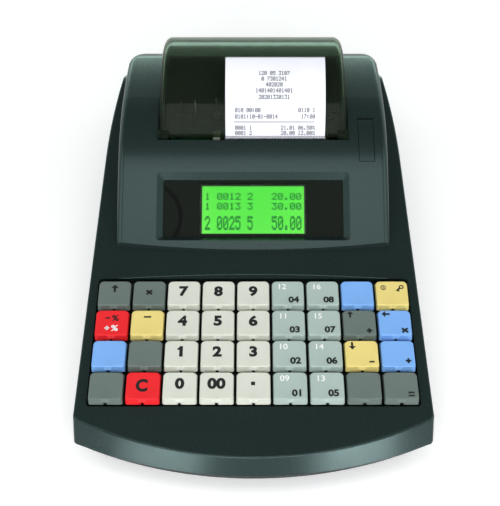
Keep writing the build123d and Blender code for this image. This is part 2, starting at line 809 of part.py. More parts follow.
# ---------------------------------------------------------------- printer cover
def cover_form(inset, half_width, radius):
    """The dome of the cover, as a solid: ramp, dome and steep tail."""
    crest_y = rear_y - cover_crest_from_rear
    crest = (crest_y, cover_height - inset)
    dome = cover_dome_radius - inset
    ramp = math.radians(cover_ramp_tilt)
    tail_tilt = math.radians(cover_tail_tilt)
    front_arc = JernArc(crest, (-1, 0), dome, cover_ramp_tilt)
    rear_arc = JernArc(crest, (1, 0), dome, -cover_ramp_tilt)
    turn_end = rear_arc @ 1
    tail_y = hinge[0] + cover_tail - inset
    turn_radius = (tail_y - turn_end.X) / (math.sin(tail_tilt) - math.sin(ramp))
    turn = JernArc(turn_end, (math.cos(ramp), -math.sin(ramp)), turn_radius,
                   -(cover_tail_tilt - cover_ramp_tilt))
    ramp_top = front_arc @ 1
    front = cover_front + inset
    ramp_low = (front, ramp_top.Y - (ramp_top.X - front) * math.tan(ramp))
    tail = turn @ 1
    low = hinge[1] - cover_tail_drop
    outline = [Line(ramp_low, ramp_top), front_arc, rear_arc, turn,
               Line(tail, (tail.X, low)), Line((tail.X, low), (front, low)),
               Line((front, low), ramp_low)]
    form = side_prism(Wire(outline), -half_width, half_width)
    edges = [e for e in form.edges() if abs(e.center().X) > half_width - 0.1
             and e.center().Z > ramp_low[1] and abs(e.tangent_at(0.5).Z) < 0.999]
    return fillet(edges, radius)


def printer_cover():
    """The smoked dome over the printer, with its pins and its two finger tabs."""
    half = cover_width / 2
    tab_top = brow_point(cover_front, 0)[1] + cover_tab_height
    outer = cover_form(0, half, cover_edge_radius)
    tabs = [block(side * half, side * (half - cover_tab_width), cover_front - cover_tab_reach,
                  cover_front + cover_wall, hinge[1], tab_top) for side in (-1, 1)]
    outer += tabs
    inner = cover_form(cover_wall, half - cover_wall, cover_edge_radius - cover_wall)
    cover = outer - inner - hump(cover_skirt)
    lug = cover_pin_radius + cover_wall
    for side in (-1, 1):
        cover += rod(side * (half - cover_wall), side * half, hinge, lug)
        cover += rod(side * (half - cover_wall), side * (opening_half + cover_pin_reach), hinge,
                     cover_pin_radius)
    return cover


# ---------------------------------------------------------------- printer
def frame_cheek(x0, x1):
    """One side plate of the printer frame."""
    front = platen[0] - cheek_front_from_platen
    rear = tub[0] + tub_radius + tub_wall
    top = platen_height + head_above
    points = [(front, frame_bottom), (rear, frame_bottom), (rear, tub_rim_height),
              (platen[0] + 2 * platen_radius, tub_rim_height), (platen[0] + platen_radius, top),
              (front, top)]
    outline = Wire([Line(a, b) for a, b in zip(points, points[1:] + points[:1])])
    return side_prism(outline, x0, x1)


def printer_frame():
    """Moulded frame: two cheeks, the paper cradle between them, and mounting ears."""
    frame = frame_cheek(cheek_left - cheek_thickness, cheek_left)
    frame += frame_cheek(cheek_right, cheek_right + cheek_thickness)
    lip = math.radians(270 - tub_lip_angle)
    outer = tub_radius + tub_wall
    trough = rod(cheek_left, cheek_right, tub, outer) - rod(cheek_left, cheek_right, tub,
                                                            tub_radius)
    far = 2 * outer
    edge = (tub[0] + far * math.cos(lip), tub[1] + far * math.sin(lip))
    away = [tub, edge, (edge[0] - far, edge[1]), (edge[0] - far, tub[1] + far),
            (tub[0] + far, tub[1] + far), (tub[0] + far, tub[1])]
    trough -= side_prism(Wire([Line(a, b) for a, b in zip(away, away[1:] + away[:1])]),
                         cheek_left, cheek_right)
    frame += trough
    frame += block(cheek_left, cheek_right, tub[0] + tub_radius, tub[0] + outer, tub[1],
                   tub_rim_height)
    front = platen[0] - cheek_front_from_platen
    frame += block(cheek_left, cheek_right, front, front + tub_wall, frame_bottom,
                   platen_height - head_below)
    for side, cheek in ((-1, cheek_left - cheek_thickness), (1, cheek_right + cheek_thickness)):
        reach_x = (frame_foot_reach + boss_radius) * side
        for y in (roll[0] - frame_foot_front, roll[0] + frame_foot_rear):
            frame += block(cheek, cheek - cheek_thickness * side + reach_x, y - boss_radius,
                           y + boss_radius, frame_bottom, frame_bottom + frame_foot_thickness)
    for x, y in frame_screws_at:
        frame -= upright(x, y, frame_bottom, frame_bottom + frame_foot_thickness, pass_radius)
    outside = cheek_left - cheek_thickness - gear_gap - gear_width - gear_gap
    frame += rod(outside, cheek_left, idler, platen_shaft_radius)
    bearing = platen_shaft_radius + bearing_clearance
    frame -= rod(cheek_left - cheek_thickness, cheek_left, platen, bearing)
    frame -= rod(cheek_right, cheek_right + cheek_thickness, platen, bearing)
    return frame - rod(cheek_left - cheek_thickness, cheek_left, motor,
                       motor_shaft_radius + split_gap)


def print_head():
    """Thermal head on its metal plate, close in front of the platen."""
    back = platen[0] - platen_radius - split_gap - paper_thickness - bearing_clearance
    low = platen_height - head_below
    high = platen_height + head_above
    head = block(cheek_left, cheek_right, back - head_thickness, back, low, high)
    count = int((cheek_right - cheek_left) / fin_pitch)
    grooves = [block(cheek_left + i * fin_pitch, cheek_left + i * fin_pitch + tub_wall,
                     back - head_thickness, back - head_thickness / 2,
                     low + fin_margin, high - fin_margin)
               for i in range(1, count)]
    return head - grooves


def tear_bar():
    """The toothed steel strip that the receipt is torn against."""
    low = platen_height + head_above
    back = platen[0] - platen_radius - tear_bar_set
    root = low + tear_bar_height - tear_tooth
    count = int((cheek_right - cheek_left) / tear_tooth)
    pitch = (cheek_right - cheek_left) / count
    points = [(cheek_left, root)]
    for i in range(count):
        points += [(cheek_left + (i + 0.5) * pitch, root + tear_tooth / 2),
                   (cheek_left + (i + 1) * pitch, root)]
    points += [(cheek_right, low), (cheek_left, low)]
    outline = Plane.XZ.offset(-back) * Polyline(*points, close=True)
    return extrude(make_face(outline), tear_bar_thickness, dir=(0, -1, 0))


def platen_roller():
    """Rubber roller on its steel shaft, which carries the gear outside the left cheek."""
    roller = rod(cheek_left + tub_side_gap / 2, cheek_right - tub_side_gap / 2, platen,
                 platen_radius)
    outside = cheek_left - cheek_thickness - gear_gap - gear_width
    return roller + rod(outside, cheek_right + cheek_thickness + gear_gap, platen,
                        platen_shaft_radius)


def gear(teeth, axis, bore, phase):
    """A spur gear about an axis along X, one tooth pointing at the angle phase, in degrees."""
    x0 = cheek_left - cheek_thickness - gear_gap - gear_width
    pitch_radius = gear_module * teeth / 2
    tip = pitch_radius + gear_addendum * gear_module
    root = pitch_radius - gear_dedendum * gear_module
    step = 360 / teeth
    points = []
    for i in range(teeth):
        middle = phase + i * step
        for turn, radius in ((-gear_root_share, root), (-gear_tip_share, tip),
                             (gear_tip_share, tip), (gear_root_share, root)):
            angle = math.radians(middle + turn * step)
            points.append((axis[0] + radius * math.cos(angle), axis[1] + radius * math.sin(angle)))
    outline = Wire([Line(a, b) for a, b in zip(points, points[1:] + points[:1])])
    return side_prism(outline, x0, x0 + gear_width) - rod(x0, x0 + gear_width, axis, bore)


def feed_motor():
    """The stepper motor, its flange against the left cheek."""
    can = rod(cheek_left, cheek_left + motor_length, motor, motor_radius)
    return can - rod(cheek_left, cheek_left + motor_shaft_reach + split_gap, motor,
                     motor_shaft_radius + bearing_clearance)


def motor_pinion():
    """The pinion and the motor's shaft, in one piece."""
    x0 = cheek_left - cheek_thickness - gear_gap
    return gear(pinion_teeth, motor, motor_shaft_radius / 2, pinion_phase) + rod(
        x0 - gear_width, cheek_left + motor_shaft_reach, motor, motor_shaft_radius)


def paper_roll():
    """The roll of thermal paper on its core."""
    return rod(paper_left, paper_right, roll, roll_radius) - rod(paper_left, paper_right, roll,
                                                                 core_radius)


def paper_web():
    """The paper from the roll, under the platen and up to the slot."""
    skin = platen_radius + split_gap
    around = roll_radius + split_gap
    span = math.hypot(roll[0] - platen[0], roll[1] - platen[1])
    towards = math.atan2(platen[1] - roll[1], platen[0] - roll[0])
    normal = towards + math.acos((around - skin) / span)
    wrap = math.degrees(normal) - 180

    def off(centre, radius):
        return (centre[0] + radius * math.cos(normal), centre[1] + radius * math.sin(normal))

    def side(extra):
        start = off(roll, around + extra)
        turn_in = off(platen, skin + extra)
        along = (turn_in[0] - start[0], turn_in[1] - start[1])
        arc = JernArc(turn_in, along, skin + extra, -wrap)
        top = (platen[0] - skin - extra, slip_foot - split_gap)
        return [Line(start, turn_in), arc, Line(arc @ 1, top)], start, top

    inner, inner_start, inner_top = side(0)
    outer, outer_start, outer_top = side(paper_thickness)
    outline = Wire([*inner, *outer, Line(inner_start, outer_start), Line(inner_top, outer_top)])
    return side_prism(outline, paper_left, paper_right)


def receipt():
    """The printed slip that stands out of the slot and leans back over the cover."""
    y = platen[0] - platen_radius - split_gap
    lean = math.radians(slip_lean)
    direction = (math.cos(lean), math.sin(lean))
    inner = JernArc((y, slip_foot), direction, slip_radius, -slip_turn)
    outer = JernArc((y - paper_thickness, slip_foot), direction, slip_radius + paper_thickness,
                    -slip_turn)
    outline = Wire([inner, outer, Line(inner @ 0, outer @ 0), Line(inner @ 1, outer @ 1)])
    return side_prism(outline, paper_left, paper_right)


def card_door():
    """The flush flap over the memory-card slot, hinged at its rear end."""
    plate = column(door_left, door_right, door_front, door_axis[0])
    door = hump_layer(0, door_thickness, plate)
    door += rod(door_left, door_right, door_axis, door_thickness - door_round_gap)
    return door + rod(door_left - door_pin_length, door_right + door_pin_length, door_axis,
                      door_pin_radius)


# ---------------------------------------------------------------- electronics
def main_board():
    """The main circuit board on its posts, with its larger components."""
    half = main_board_width / 2
    rear = rear_y - main_board_rear_gap
    board = block(-half, half, rear - main_board_depth, rear, board_bottom, board_top)
    for x, y in frame_screws_at:
        board -= upright(x, y, board_bottom, board_top, post_radius + socket_clearance)
    for x, y, width, depth, height in board_parts:
        board += block(x, x + width, rear - y - depth, rear - y, board_top, board_top + height)
    return board


def rear_sockets():
    """Power, drawer and serial sockets along the rear edge of the main board."""
    sockets = []
    for name, x in socket_places.items():
        half = socket_widths[name] / 2
        rear = rear_wall_y(x) - socket_set_in
        top = board_top + socket_heights[name]
        body = block(x - half, x + half, rear - socket_depth, rear, board_top, top)
        inner = half - socket_wall
        if name == "power":
            axis = board_top + socket_heights[name] / 2
            mouth = Pos(x, rear - socket_mouth_depth / 2, axis) * Rot(90, 0, 0)
            body -= mouth * Cylinder(inner, socket_mouth_depth)
            body += mouth * Cylinder(power_pin_radius, socket_mouth_depth)
        else:
            body -= block(x - inner, x + inner, rear - socket_mouth_depth, rear,
                          board_top + socket_wall, top - socket_wall)
        sockets.append(body)
    return Compound(sockets)


# ---------------------------------------------------------------- fasteners
def upright_screw(x, y, head_low, shank_low, shank_high):
    """A pan-head screw standing along Z."""
    head = upright(x, y, head_low, head_low + screw_head_height, screw_head_radius)
    return head + upright(x, y, shank_low, shank_high, screw_radius)


def case_screws():
    """All screws: four through the case, four in the printer, six under the keyboard."""
    floor_top = parting_height - tuck_height + case_floor
    screws = []
    for x, y in case_screws_at:
        shoulder = floor_top + case_screw_seat
        screws.append(upright_screw(x, y, shoulder - screw_head_height, shoulder,
                                    boss_split_height + case_screw_grip - deck_skin))
    for x, y in frame_screws_at:
        shoulder = frame_bottom + frame_foot_thickness
        screws.append(upright_screw(x, y, shoulder, frame_bottom - case_screw_grip + deck_skin,
                                    shoulder))
    for x, y in keyboard_screws:
        low = keyboard_board_bottom
        screws.append(tilted_post(x, y, low - screw_head_height, low, screw_head_radius)
                      + tilted_post(x, y, low, guide_top + keyboard_screw_grip, screw_radius))
    return Compound(screws)


# ---------------------------------------------------------------- write the pieces
pieces = {
    "lower_case": lower_case, "upper_case": upper_case, "printer_cover": printer_cover,
    "display_window": display_window, "display_module": display_module, "key_guide": key_guide,
    "dome_mat": dome_mat, "keyboard_board": keyboard_board, "main_board": main_board,
    "rear_sockets": rear_sockets, "printer_frame": printer_frame, "print_head": print_head,
    "tear_bar": tear_bar, "platen_roller": platen_roller, "feed_motor": feed_motor,
    "motor_pinion": motor_pinion, "paper_roll": paper_roll, "paper_web": paper_web,
    "receipt": receipt, "card_door": card_door, "case_screws": case_screws,
    "rubber_feet": rubber_feet,
}
for name, make in pieces.items():
    save(make(), name)
save(gear(platen_teeth, platen, platen_shaft_radius, platen_phase), "platen_gear")
save(gear(idler_teeth, idler, platen_shaft_radius + bearing_clearance, idler_phase), "idler_gear")
one_key = keycap()
for i, (x, y) in enumerate(all_keys):
    row, place = divmod(i, key_columns)
    save(keyboard.location * Pos(x, y) * one_key, f"key_{row + 1}_{place + 1}")
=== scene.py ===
# %% [markdown]
# # A portable ticket register, dressed for rendering
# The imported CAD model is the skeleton: its case, cover, printer and keys stand in metres,
# each on the body that it moves with. This notebook keeps that skeleton where it is and adds
# what moulding, printing and light add to the real machine. It runs from top to bottom.

# %% Load the frame
import math
import bpy
import numpy as np
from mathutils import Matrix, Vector


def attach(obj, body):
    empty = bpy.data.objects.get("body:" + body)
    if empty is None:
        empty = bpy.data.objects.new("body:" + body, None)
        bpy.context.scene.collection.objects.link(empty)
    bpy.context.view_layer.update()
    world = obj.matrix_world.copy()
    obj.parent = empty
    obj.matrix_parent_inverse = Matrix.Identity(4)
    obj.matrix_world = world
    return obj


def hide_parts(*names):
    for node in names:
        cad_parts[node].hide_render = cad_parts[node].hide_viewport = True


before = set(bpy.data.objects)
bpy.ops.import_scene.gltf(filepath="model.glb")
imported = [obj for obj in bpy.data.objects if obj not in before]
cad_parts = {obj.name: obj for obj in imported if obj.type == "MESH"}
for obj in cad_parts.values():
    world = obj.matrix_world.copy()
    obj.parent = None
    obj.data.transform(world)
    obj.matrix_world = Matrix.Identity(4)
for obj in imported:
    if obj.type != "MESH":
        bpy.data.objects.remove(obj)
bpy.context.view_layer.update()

# %% [markdown]
# ## Camera and units
# A product camera stands well back with a long lens, so that parallel edges stay nearly
# parallel. It looks down at the keyboard from the place of the person who uses it. Distances
# are easier to read in millimetres, so one factor turns them into Blender's metres.

# %% Camera
MM = 0.001
camera_place = (-1.8 * MM, -404.1 * MM, 465.4 * MM)
camera_elevation = 47.3
lens_length = 71.86

camera_data = bpy.data.cameras.new("product_camera")
camera_data.lens = lens_length
camera_data.clip_start = 0.01
camera = bpy.data.objects.new("product_camera", camera_data)
camera.location = camera_place
camera.rotation_euler = (math.radians(90 - camera_elevation), 0, 0)
bpy.context.collection.objects.link(camera)
bpy.context.scene.camera = camera
bpy.context.scene.view_settings.view_transform = "Standard"
print("camera", camera_elevation, "degrees above the table")

# %% [markdown]
# ## Where things are
# Two planes carry nearly everything that is added here. The keys stand on the deck, which
# tilts seven degrees towards the user. The display lies in the sloping face of the hump. A
# plane is kept as a corner point and three unit directions: across, up the slope and out.

# %% The two working planes
def working_plane(origin, tilt):
    """A plane that rises away from the user: its origin, and rows across, along and out."""
    c, s = math.cos(math.radians(tilt)), math.sin(math.radians(tilt))
    return np.array(origin), np.array([[1, 0, 0], [0, c, s], [0, -s, c]])


def on_plane(plane, points):
    """Points given as (across, along, out) in millimetres, put on a plane, in metres."""
    origin, axes = plane
    return (origin + np.asarray(points, float) @ axes) * MM


deck_tilt = 7.0
well_front_y = -110.4
well_front_z = 30.938
keyboard = working_plane((0, well_front_y, well_front_z), deck_tilt)
hump_face = working_plane((0, -13.1, 44.585), 31.5)
print("keyboard plane starts at", keyboard[0], "hump face at", hump_face[0])

# %% [markdown]
# ## Making meshes from arrays
# A moulded surface is a function of two parameters, worked out for a whole grid of points at
# once. Two helpers turn such grids into Blender meshes: one lists the four corners of every
# cell of a grid, the other hands points and faces to Blender and makes them ride on a body.

# %% Mesh helpers
def grid_faces(rows, columns, wrap=False, start=0):
    """Quads of a grid stored row by row; wrap joins the last column to the first."""
    r = np.arange(rows - 1)[:, None]
    c = np.arange(columns if wrap else columns - 1)[None, :]
    d = (c + 1) % columns
    a = r * columns + c
    corners = [a, r * columns + d, a + columns - c + d, a + columns]
    return np.stack(corners, -1).reshape(-1, 4) + start


def make_piece(name, points, faces, body, material, smooth=True):
    """A mesh from arrays of points in metres and of quads or triangles, riding on a body."""
    mesh = bpy.data.meshes.new(name)
    points, faces = np.asarray(points, float), np.asarray(faces, int)
    mesh.vertices.add(len(points))
    mesh.vertices.foreach_set("co", points.ravel())
    mesh.loops.add(faces.size)
    mesh.loops.foreach_set("vertex_index", faces.ravel())
    mesh.polygons.add(len(faces))
    mesh.polygons.foreach_set("loop_start", np.arange(0, faces.size, faces.shape[1]))
    mesh.polygons.foreach_set("use_smooth", np.full(len(faces), smooth))
    mesh.update(calc_edges=True)
    mesh.validate()
    mesh.materials.append(material)
    piece = bpy.data.objects.new(name, mesh)
    bpy.context.collection.objects.link(piece)
    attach(piece, body)
    return piece


print("grid of 3 by 3 points has", len(grid_faces(3, 3)), "cells")

# %% [markdown]
# ## Materials: moulded plastic
# Nearly all of the machine is injection-moulded plastic. What tells one moulding from another
# is its colour, its gloss and the fine spark-eroded texture of the mould. One recipe covers
# them: two close shades mixed by a slow noise, a roughness that wanders a little, and a bump
# of two sizes, the grain of the mould and the slight waviness of the wall.

# %% Node helpers and the moulded recipe
wall_waves = 22               # per metre, the waviness of a moulded wall
wall_depth = 0.00012          # in metres


def new_material(name):
    """An empty node material: the material, its tree and its shader."""
    material = bpy.data.materials.new(name)
    material.use_nodes = True
    return material, material.node_tree, material.node_tree.nodes["Principled BSDF"]


def add_node(tree, kind, **values):
    """A node with its sockets or settings set by name."""
    node = tree.nodes.new(kind)
    for key, value in values.items():
        socket = key.replace("_", " ")
        if socket in node.inputs:
            node.inputs[socket].default_value = value
        else:
            setattr(node, key, value)
    return node


def noise(tree, scale, detail=2.0):
    """Noise on object coordinates; scale is in waves per metre. Gives its factor socket."""
    place = add_node(tree, "ShaderNodeTexCoord")
    node = add_node(tree, "ShaderNodeTexNoise", Scale=scale, Detail=detail)
    tree.links.new(place.outputs["Object"], node.inputs["Vector"])
    return node.outputs["Fac"]


def spread(tree, source, low, high, from_low=0.3, from_high=0.7):
    """Stretches a factor that lies around a half onto the range low to high."""
    node = add_node(tree, "ShaderNodeMapRange")
    for socket, value in zip(("From Min", "From Max", "To Min", "To Max"),
                             (from_low, from_high, low, high)):
        node.inputs[socket].default_value = value
    tree.links.new(source, node.inputs["Value"])
    return node.outputs["Result"]


def two_tone(tree, source, first, second):
    """Mixes two colours, each three numbers or a socket, by a factor."""
    node = add_node(tree, "ShaderNodeMix", data_type="RGBA")
    factor, a, b = [s for s in node.inputs if s.enabled]
    for socket, colour in ((a, first), (b, second)):
        if isinstance(colour, tuple):
            socket.default_value = (*colour, 1)
        else:
            tree.links.new(colour, socket)
    tree.links.new(source, factor)
    return next(s for s in node.outputs if s.enabled)


def bumps(tree, shader, layers):
    """Stacks bump layers, each a factor socket and a depth in metres."""
    normal = None
    for source, depth in layers:
        node = add_node(tree, "ShaderNodeBump", Strength=1.0, Distance=depth)
        tree.links.new(source, node.inputs["Height"])
        if normal:
            tree.links.new(normal, node.inputs["Normal"])
        normal = node.outputs["Normal"]
    tree.links.new(normal, shader.inputs["Normal"])


def moulded(name, colour, roughness=0.4, specular=0.5, grain=2600, depth=0.00001, shade=0.9,
            tint=(1, 1, 1)):
    """Moulded plastic: close shades, wandering gloss, mould grain and a wavy wall."""
    material, tree, shader = new_material(name)
    darker = tuple(c * shade for c in colour)
    slow = noise(tree, wall_waves, 3)
    tree.links.new(two_tone(tree, spread(tree, slow, 0, 1), colour, darker),
                   shader.inputs["Base Color"])
    fine = noise(tree, grain, 2)
    tree.links.new(spread(tree, fine, roughness - 0.04, roughness + 0.05),
                   shader.inputs["Roughness"])
    shader.inputs["Specular IOR Level"].default_value = specular
    shader.inputs["Specular Tint"].default_value = (*tint, 1)
    bumps(tree, shader, [(slow, wall_depth), (fine, depth)])
    return material


print("moulded recipe ready")

# %% [markdown]
# ## Dressing the case
# The upper shell is a dark grey with a green cast, satin on the deck. The lower shell is the
# same plastic with a duller texture. CAD parts keep their shape, so dressing one is only a
# matter of putting a material into its slot.

# %% Case, door, feet and hidden parts
def dress(material, *nodes):
    """Gives CAD nodes a material in place of their plain one."""
    for name in nodes:
        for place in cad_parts[name].material_slots:
            place.material = material


case_colour = (0.0115, 0.0195, 0.0180)
case_skin = moulded("case_satin", case_colour, roughness=0.24, specular=0.5, depth=0.000004,
                    tint=(0.68, 0.97, 0.97))
tray_skin = moulded("tray_texture", case_colour, roughness=0.5, specular=0.3, depth=0.00002)
guide_black = moulded("guide_black", (0.004, 0.004, 0.005), roughness=0.6, specular=0.2)
rubber = moulded("foot_rubber", (0.015, 0.015, 0.015), roughness=0.85, specular=0.2)
frame_black = moulded("printer_black", (0.008, 0.009, 0.009), roughness=0.45, specular=0.4)
silicone = moulded("silicone_grey", (0.32, 0.33, 0.32), roughness=0.6)
acetal = moulded("gear_acetal", (0.62, 0.61, 0.56), roughness=0.35)
socket_black = moulded("socket_black", (0.01, 0.01, 0.01), roughness=0.4)
dress(case_skin, "upper_case", "card_door")
dress(tray_skin, "lower_case")
dress(guide_black, "key_guide")
dress(rubber, "rubber_feet", "platen_roller")
dress(frame_black, "printer_frame")
dress(silicone, "dome_mat")
dress(acetal, "platen_gear", "idler_gear")
dress(socket_black, "rear_sockets")
print("dressed the case and the mouldings inside it")

# %% [markdown]
# ## Metal, boards and paper
# The tear bar, the head, the screws and the motor are metal: a metal has no colour of its own
# apart from its reflection, so the metallic value is one and fine scratches bend that
# reflection. A circuit board is green lacquer with copper tracks under it. Paper is matt and
# never quite even.

# %% Metal, circuit board and paper finishes
def metal(name, colour, roughness, stretch=(1, 1, 1)):
    """Bare metal with fine scratches, drawn out along the axes where stretch is small."""
    material, tree, shader = new_material(name)
    place = add_node(tree, "ShaderNodeTexCoord")
    scale = add_node(tree, "ShaderNodeMapping", Scale=stretch)
    lines = add_node(tree, "ShaderNodeTexNoise", Scale=1800.0, Detail=3.0)
    tree.links.new(place.outputs["Object"], scale.inputs["Vector"])
    tree.links.new(scale.outputs["Vector"], lines.inputs["Vector"])
    source = lines.outputs["Fac"]
    darker = tuple(c * 0.8 for c in colour)
    tree.links.new(two_tone(tree, spread(tree, source, 0, 1), colour, darker),
                   shader.inputs["Base Color"])
    tree.links.new(spread(tree, source, roughness - 0.06, roughness + 0.1),
                   shader.inputs["Roughness"])
    shader.inputs["Metallic"].default_value = 1.0
    bumps(tree, shader, [(source, 0.000006)])
    return material


def circuit_board(name):
    """Green solder lacquer: square tracks show as slightly paler, raised cells."""
    material, tree, shader = new_material(name)
    place = add_node(tree, "ShaderNodeTexCoord")
    cells = add_node(tree, "ShaderNodeTexVoronoi", Scale=260.0)
    cells.distance = "CHEBYCHEV"
    tree.links.new(place.outputs["Object"], cells.inputs["Vector"])
    tracks = spread(tree, cells.outputs["Distance"], 0, 1, 0.28, 0.34)
    tree.links.new(two_tone(tree, tracks, (0.012, 0.10, 0.04), (0.03, 0.20, 0.08)),
                   shader.inputs["Base Color"])
    tree.links.new(spread(tree, noise(tree, 900), 0.25, 0.4), shader.inputs["Roughness"])
    bumps(tree, shader, [(tracks, 0.00003)])
    return material


def paper(name, colour, tint):
    """Coated thermal paper: two near whites, faint fibre and no shine."""
    material, tree, shader = new_material(name)
    fibre = noise(tree, 1400, 4)
    tree.links.new(two_tone(tree, spread(tree, noise(tree, 30), 0, 1), colour, tint),
                   shader.inputs["Base Color"])
    tree.links.new(spread(tree, fibre, 0.55, 0.7), shader.inputs["Roughness"])
    shader.inputs["Specular IOR Level"].default_value = 0.3
    bumps(tree, shader, [(fibre, 0.000008)])
    return material


steel = metal("bright_steel", (0.62, 0.63, 0.64), 0.25, (1, 0.05, 1))
zinc = metal("zinc_plate", (0.5, 0.5, 0.52), 0.35)
aluminium = metal("head_aluminium", (0.7, 0.7, 0.72), 0.3, (0.05, 1, 1))
brass = metal("pinion_brass", (0.72, 0.5, 0.22), 0.25)
board_green = circuit_board("board_green")
receipt_white = paper("thermal_paper", (0.86, 0.87, 0.93), (0.80, 0.81, 0.90))
dress(steel, "tear_bar")
dress(zinc, "case_screws", "feed_motor")
dress(aluminium, "print_head")
dress(brass, "motor_pinion")
dress(board_green, "keyboard_board", "main_board")
dress(receipt_white, "paper_web", "paper_roll")
print("dressed metal, boards and paper")

# %% [markdown]
# ## The smoked cover
# The cover is clear plastic with a smoky green dye, about two millimetres thick. One wall over
# the dark printer looks black; where two walls stand against the pale table, light comes
# through and shows the green of the dye. So it is a true transparent material, whose colour is
# what one wall lets through, rather than a painted green.

# %% Smoked cover
def smoked(name, passed, roughness):
    """Dyed clear plastic: passed is the colour of light after one wall."""
    material, tree, shader = new_material(name)
    haze = noise(tree, 60, 3)
    thinner = tuple(min(1, c * 1.12) for c in passed)
    tree.links.new(two_tone(tree, spread(tree, haze, 0, 1), passed, thinner),
                   shader.inputs["Base Color"])
    tree.links.new(spread(tree, haze, roughness, roughness + 0.05), shader.inputs["Roughness"])
    shader.inputs["Transmission Weight"].default_value = 0.955
    shader.inputs["IOR"].default_value = 1.18
    bumps(tree, shader, [(haze, 0.00004)])
    return material


cover_smoke = smoked("cover_smoke", (0.155, 0.22, 0.145), 0.04)
dress(cover_smoke, "printer_cover")
print("cover lets through", cover_smoke.name)

# %% [markdown]
# ## Keycaps
# A keycap is a thin shell on a square foot. Its walls lean in, its top edge is rounded, its
# two rear corners are rounder than the front ones, and its top is dished for the fingertip. A
# small slot in the front skirt lets it be pulled off. All of that is one grid: around the cap
# in one direction, and from the ceiling inside, under the rim, up the walls and over the top
# in the other.

# %% Shape of a keycap
key_pitch, key_base, key_top, key_height = 19.05, 17.8, 17.3, 3.8
key_foot, key_wall, key_round, key_dish = -0.2, 1.1, 0.5, 0.25
slot_half, slot_top = 0.75, 1.5
front_run, rear_run = 1.3, 1.15
dish_y = 0.1                  # the middle of the crown is this far behind that of the foot


def outline_ring(half_x, half_y, middle_y, front_radius, rear_radius):
    """Points around a rounded rectangle: four arcs, and evenly spaced points between them.

    The front edge is split at the sides of the slot instead."""
    quarter = np.linspace(0, np.pi / 2, 8)
    arcs = []
    for sx, sy, radius, turn in ((1, -1, front_radius, -np.pi / 2), (1, 1, rear_radius, 0),
                                 (-1, 1, rear_radius, np.pi / 2), (-1, -1, front_radius, np.pi)):
        arc = turn + quarter
        arcs.append(np.stack([sx * (half_x - radius) + radius * np.cos(arc),
                              sy * (half_y - radius) + radius * np.sin(arc)], -1))
    between = np.linspace(0, 1, 9)[1:-1, None]
    sides = [a[-1] + (b[0] - a[-1]) * between for a, b in zip(arcs, arcs[1:])]
    front_x = np.array([-4, -2.6, -slot_half, -slot_half, 0, slot_half, slot_half, 2.6, 4])
    front = np.stack([front_x, np.full(len(front_x), -half_y)], -1)
    ring = np.concatenate([arcs[0], sides[0], arcs[1], sides[1], arcs[2], sides[2], arcs[3],
                           front])
    return ring + [0, middle_y]


def keycap_points():
    """Rings from the ceiling inside the cap round to the middle of its dished top."""
    shift = (front_run - rear_run) / 2
    crown_y = (key_base - front_run - rear_run) / 2
    crown_x = key_top / 2
    levels = []

    def ring(share, inset, z, rear):
        """One ring: share runs from the foot (0) to the top (1) of the leaning wall."""
        half_x = key_base / 2 + (crown_x - key_base / 2) * share - inset
        half_y = key_base / 2 + (crown_y - key_base / 2) * share - inset
        flat = outline_ring(half_x, half_y, shift * share, max(1.2 - inset, 0.3),
                            max(rear - inset, 0.3))
        levels.append(np.column_stack([flat, np.full(len(flat), z)]))

    span = key_height - key_foot
    ceiling = (key_height - key_wall - key_foot) / span
    for share in (ceiling, 0.4, 0.2, 0):
        ring(share, key_wall, key_foot + share * span, 1.3 + 1.2 * share)
    for share in (0, 0.03, 0.14, 0.3, 0.5, 0.7):
        ring(share, 0, key_foot + share * span, 1.3 + 1.2 * share)
    side = (key_height - key_round - key_foot) / span
    for angle in np.radians(np.linspace(0, 90, 7)):
        ring(side, key_round * (1 - np.cos(angle)),
             key_height - key_round * (1 - np.sin(angle)), 2.5)
    rim = levels[-1].copy()
    middle = np.array([0, dish_y])
    for share in (0.95, 0.88, 0.76, 0.62, 0.47, 0.31, 0.15):
        inner = rim.copy()
        inner[:, :2] = middle + (rim[:, :2] - middle) * share
        levels.append(inner)
    grid = np.stack(levels)
    grid[-7:, :, 2] -= dish(grid[-7:, :, 0], grid[-7:, :, 1])
    slot = grid[:, -6:-3]
    slot[..., 2] = np.maximum(slot[..., 2], slot_top)
    return grid


def dish(x, y):
    """Depth of the round hollow in a key's top, from nothing at its rim to the full dish."""
    reach = np.hypot(x, y - dish_y) / (key_top / 2 - key_round)
    return key_dish * np.clip(1 - reach**2, 0, 1)


cap_grid = keycap_points()
rings, around = cap_grid.shape[:2]
ends = [[0, 0, key_height - key_wall], [0, dish_y, key_height - key_dish]]
cap_points = np.concatenate([cap_grid.reshape(-1, 3), ends])
cap_quads = grid_faces(rings, around, wrap=True)
this, following = np.arange(around), (np.arange(around) + 1) % around
outermost = (rings - 1) * around
ceiling_fan = np.stack([this, np.full(around, rings * around), following], -1)
crown_fan = np.stack([outermost + this, outermost + following,
                      np.full(around, rings * around + 1)], -1)
cap_faces = np.concatenate([cap_quads[:, [0, 1, 2]], cap_quads[:, [0, 2, 3]],
                            ceiling_fan, crown_fan])
print("a keycap has", rings, "rings of", around, "points")

# %% [markdown]
# ## The lip behind the keys
# The deck ends in a low rounded bead behind the last row of keys. It bows towards the hump in
# the middle and dies into the deck at both ends.

# %% Bead behind the key well
bead_reach, bead_half, bead_height = 76.0, 0.65, 0.5
bead_middle, bead_bow, bead_taper = 82.3, 2.9, 6
bead_rings, bead_sides = 61, 16

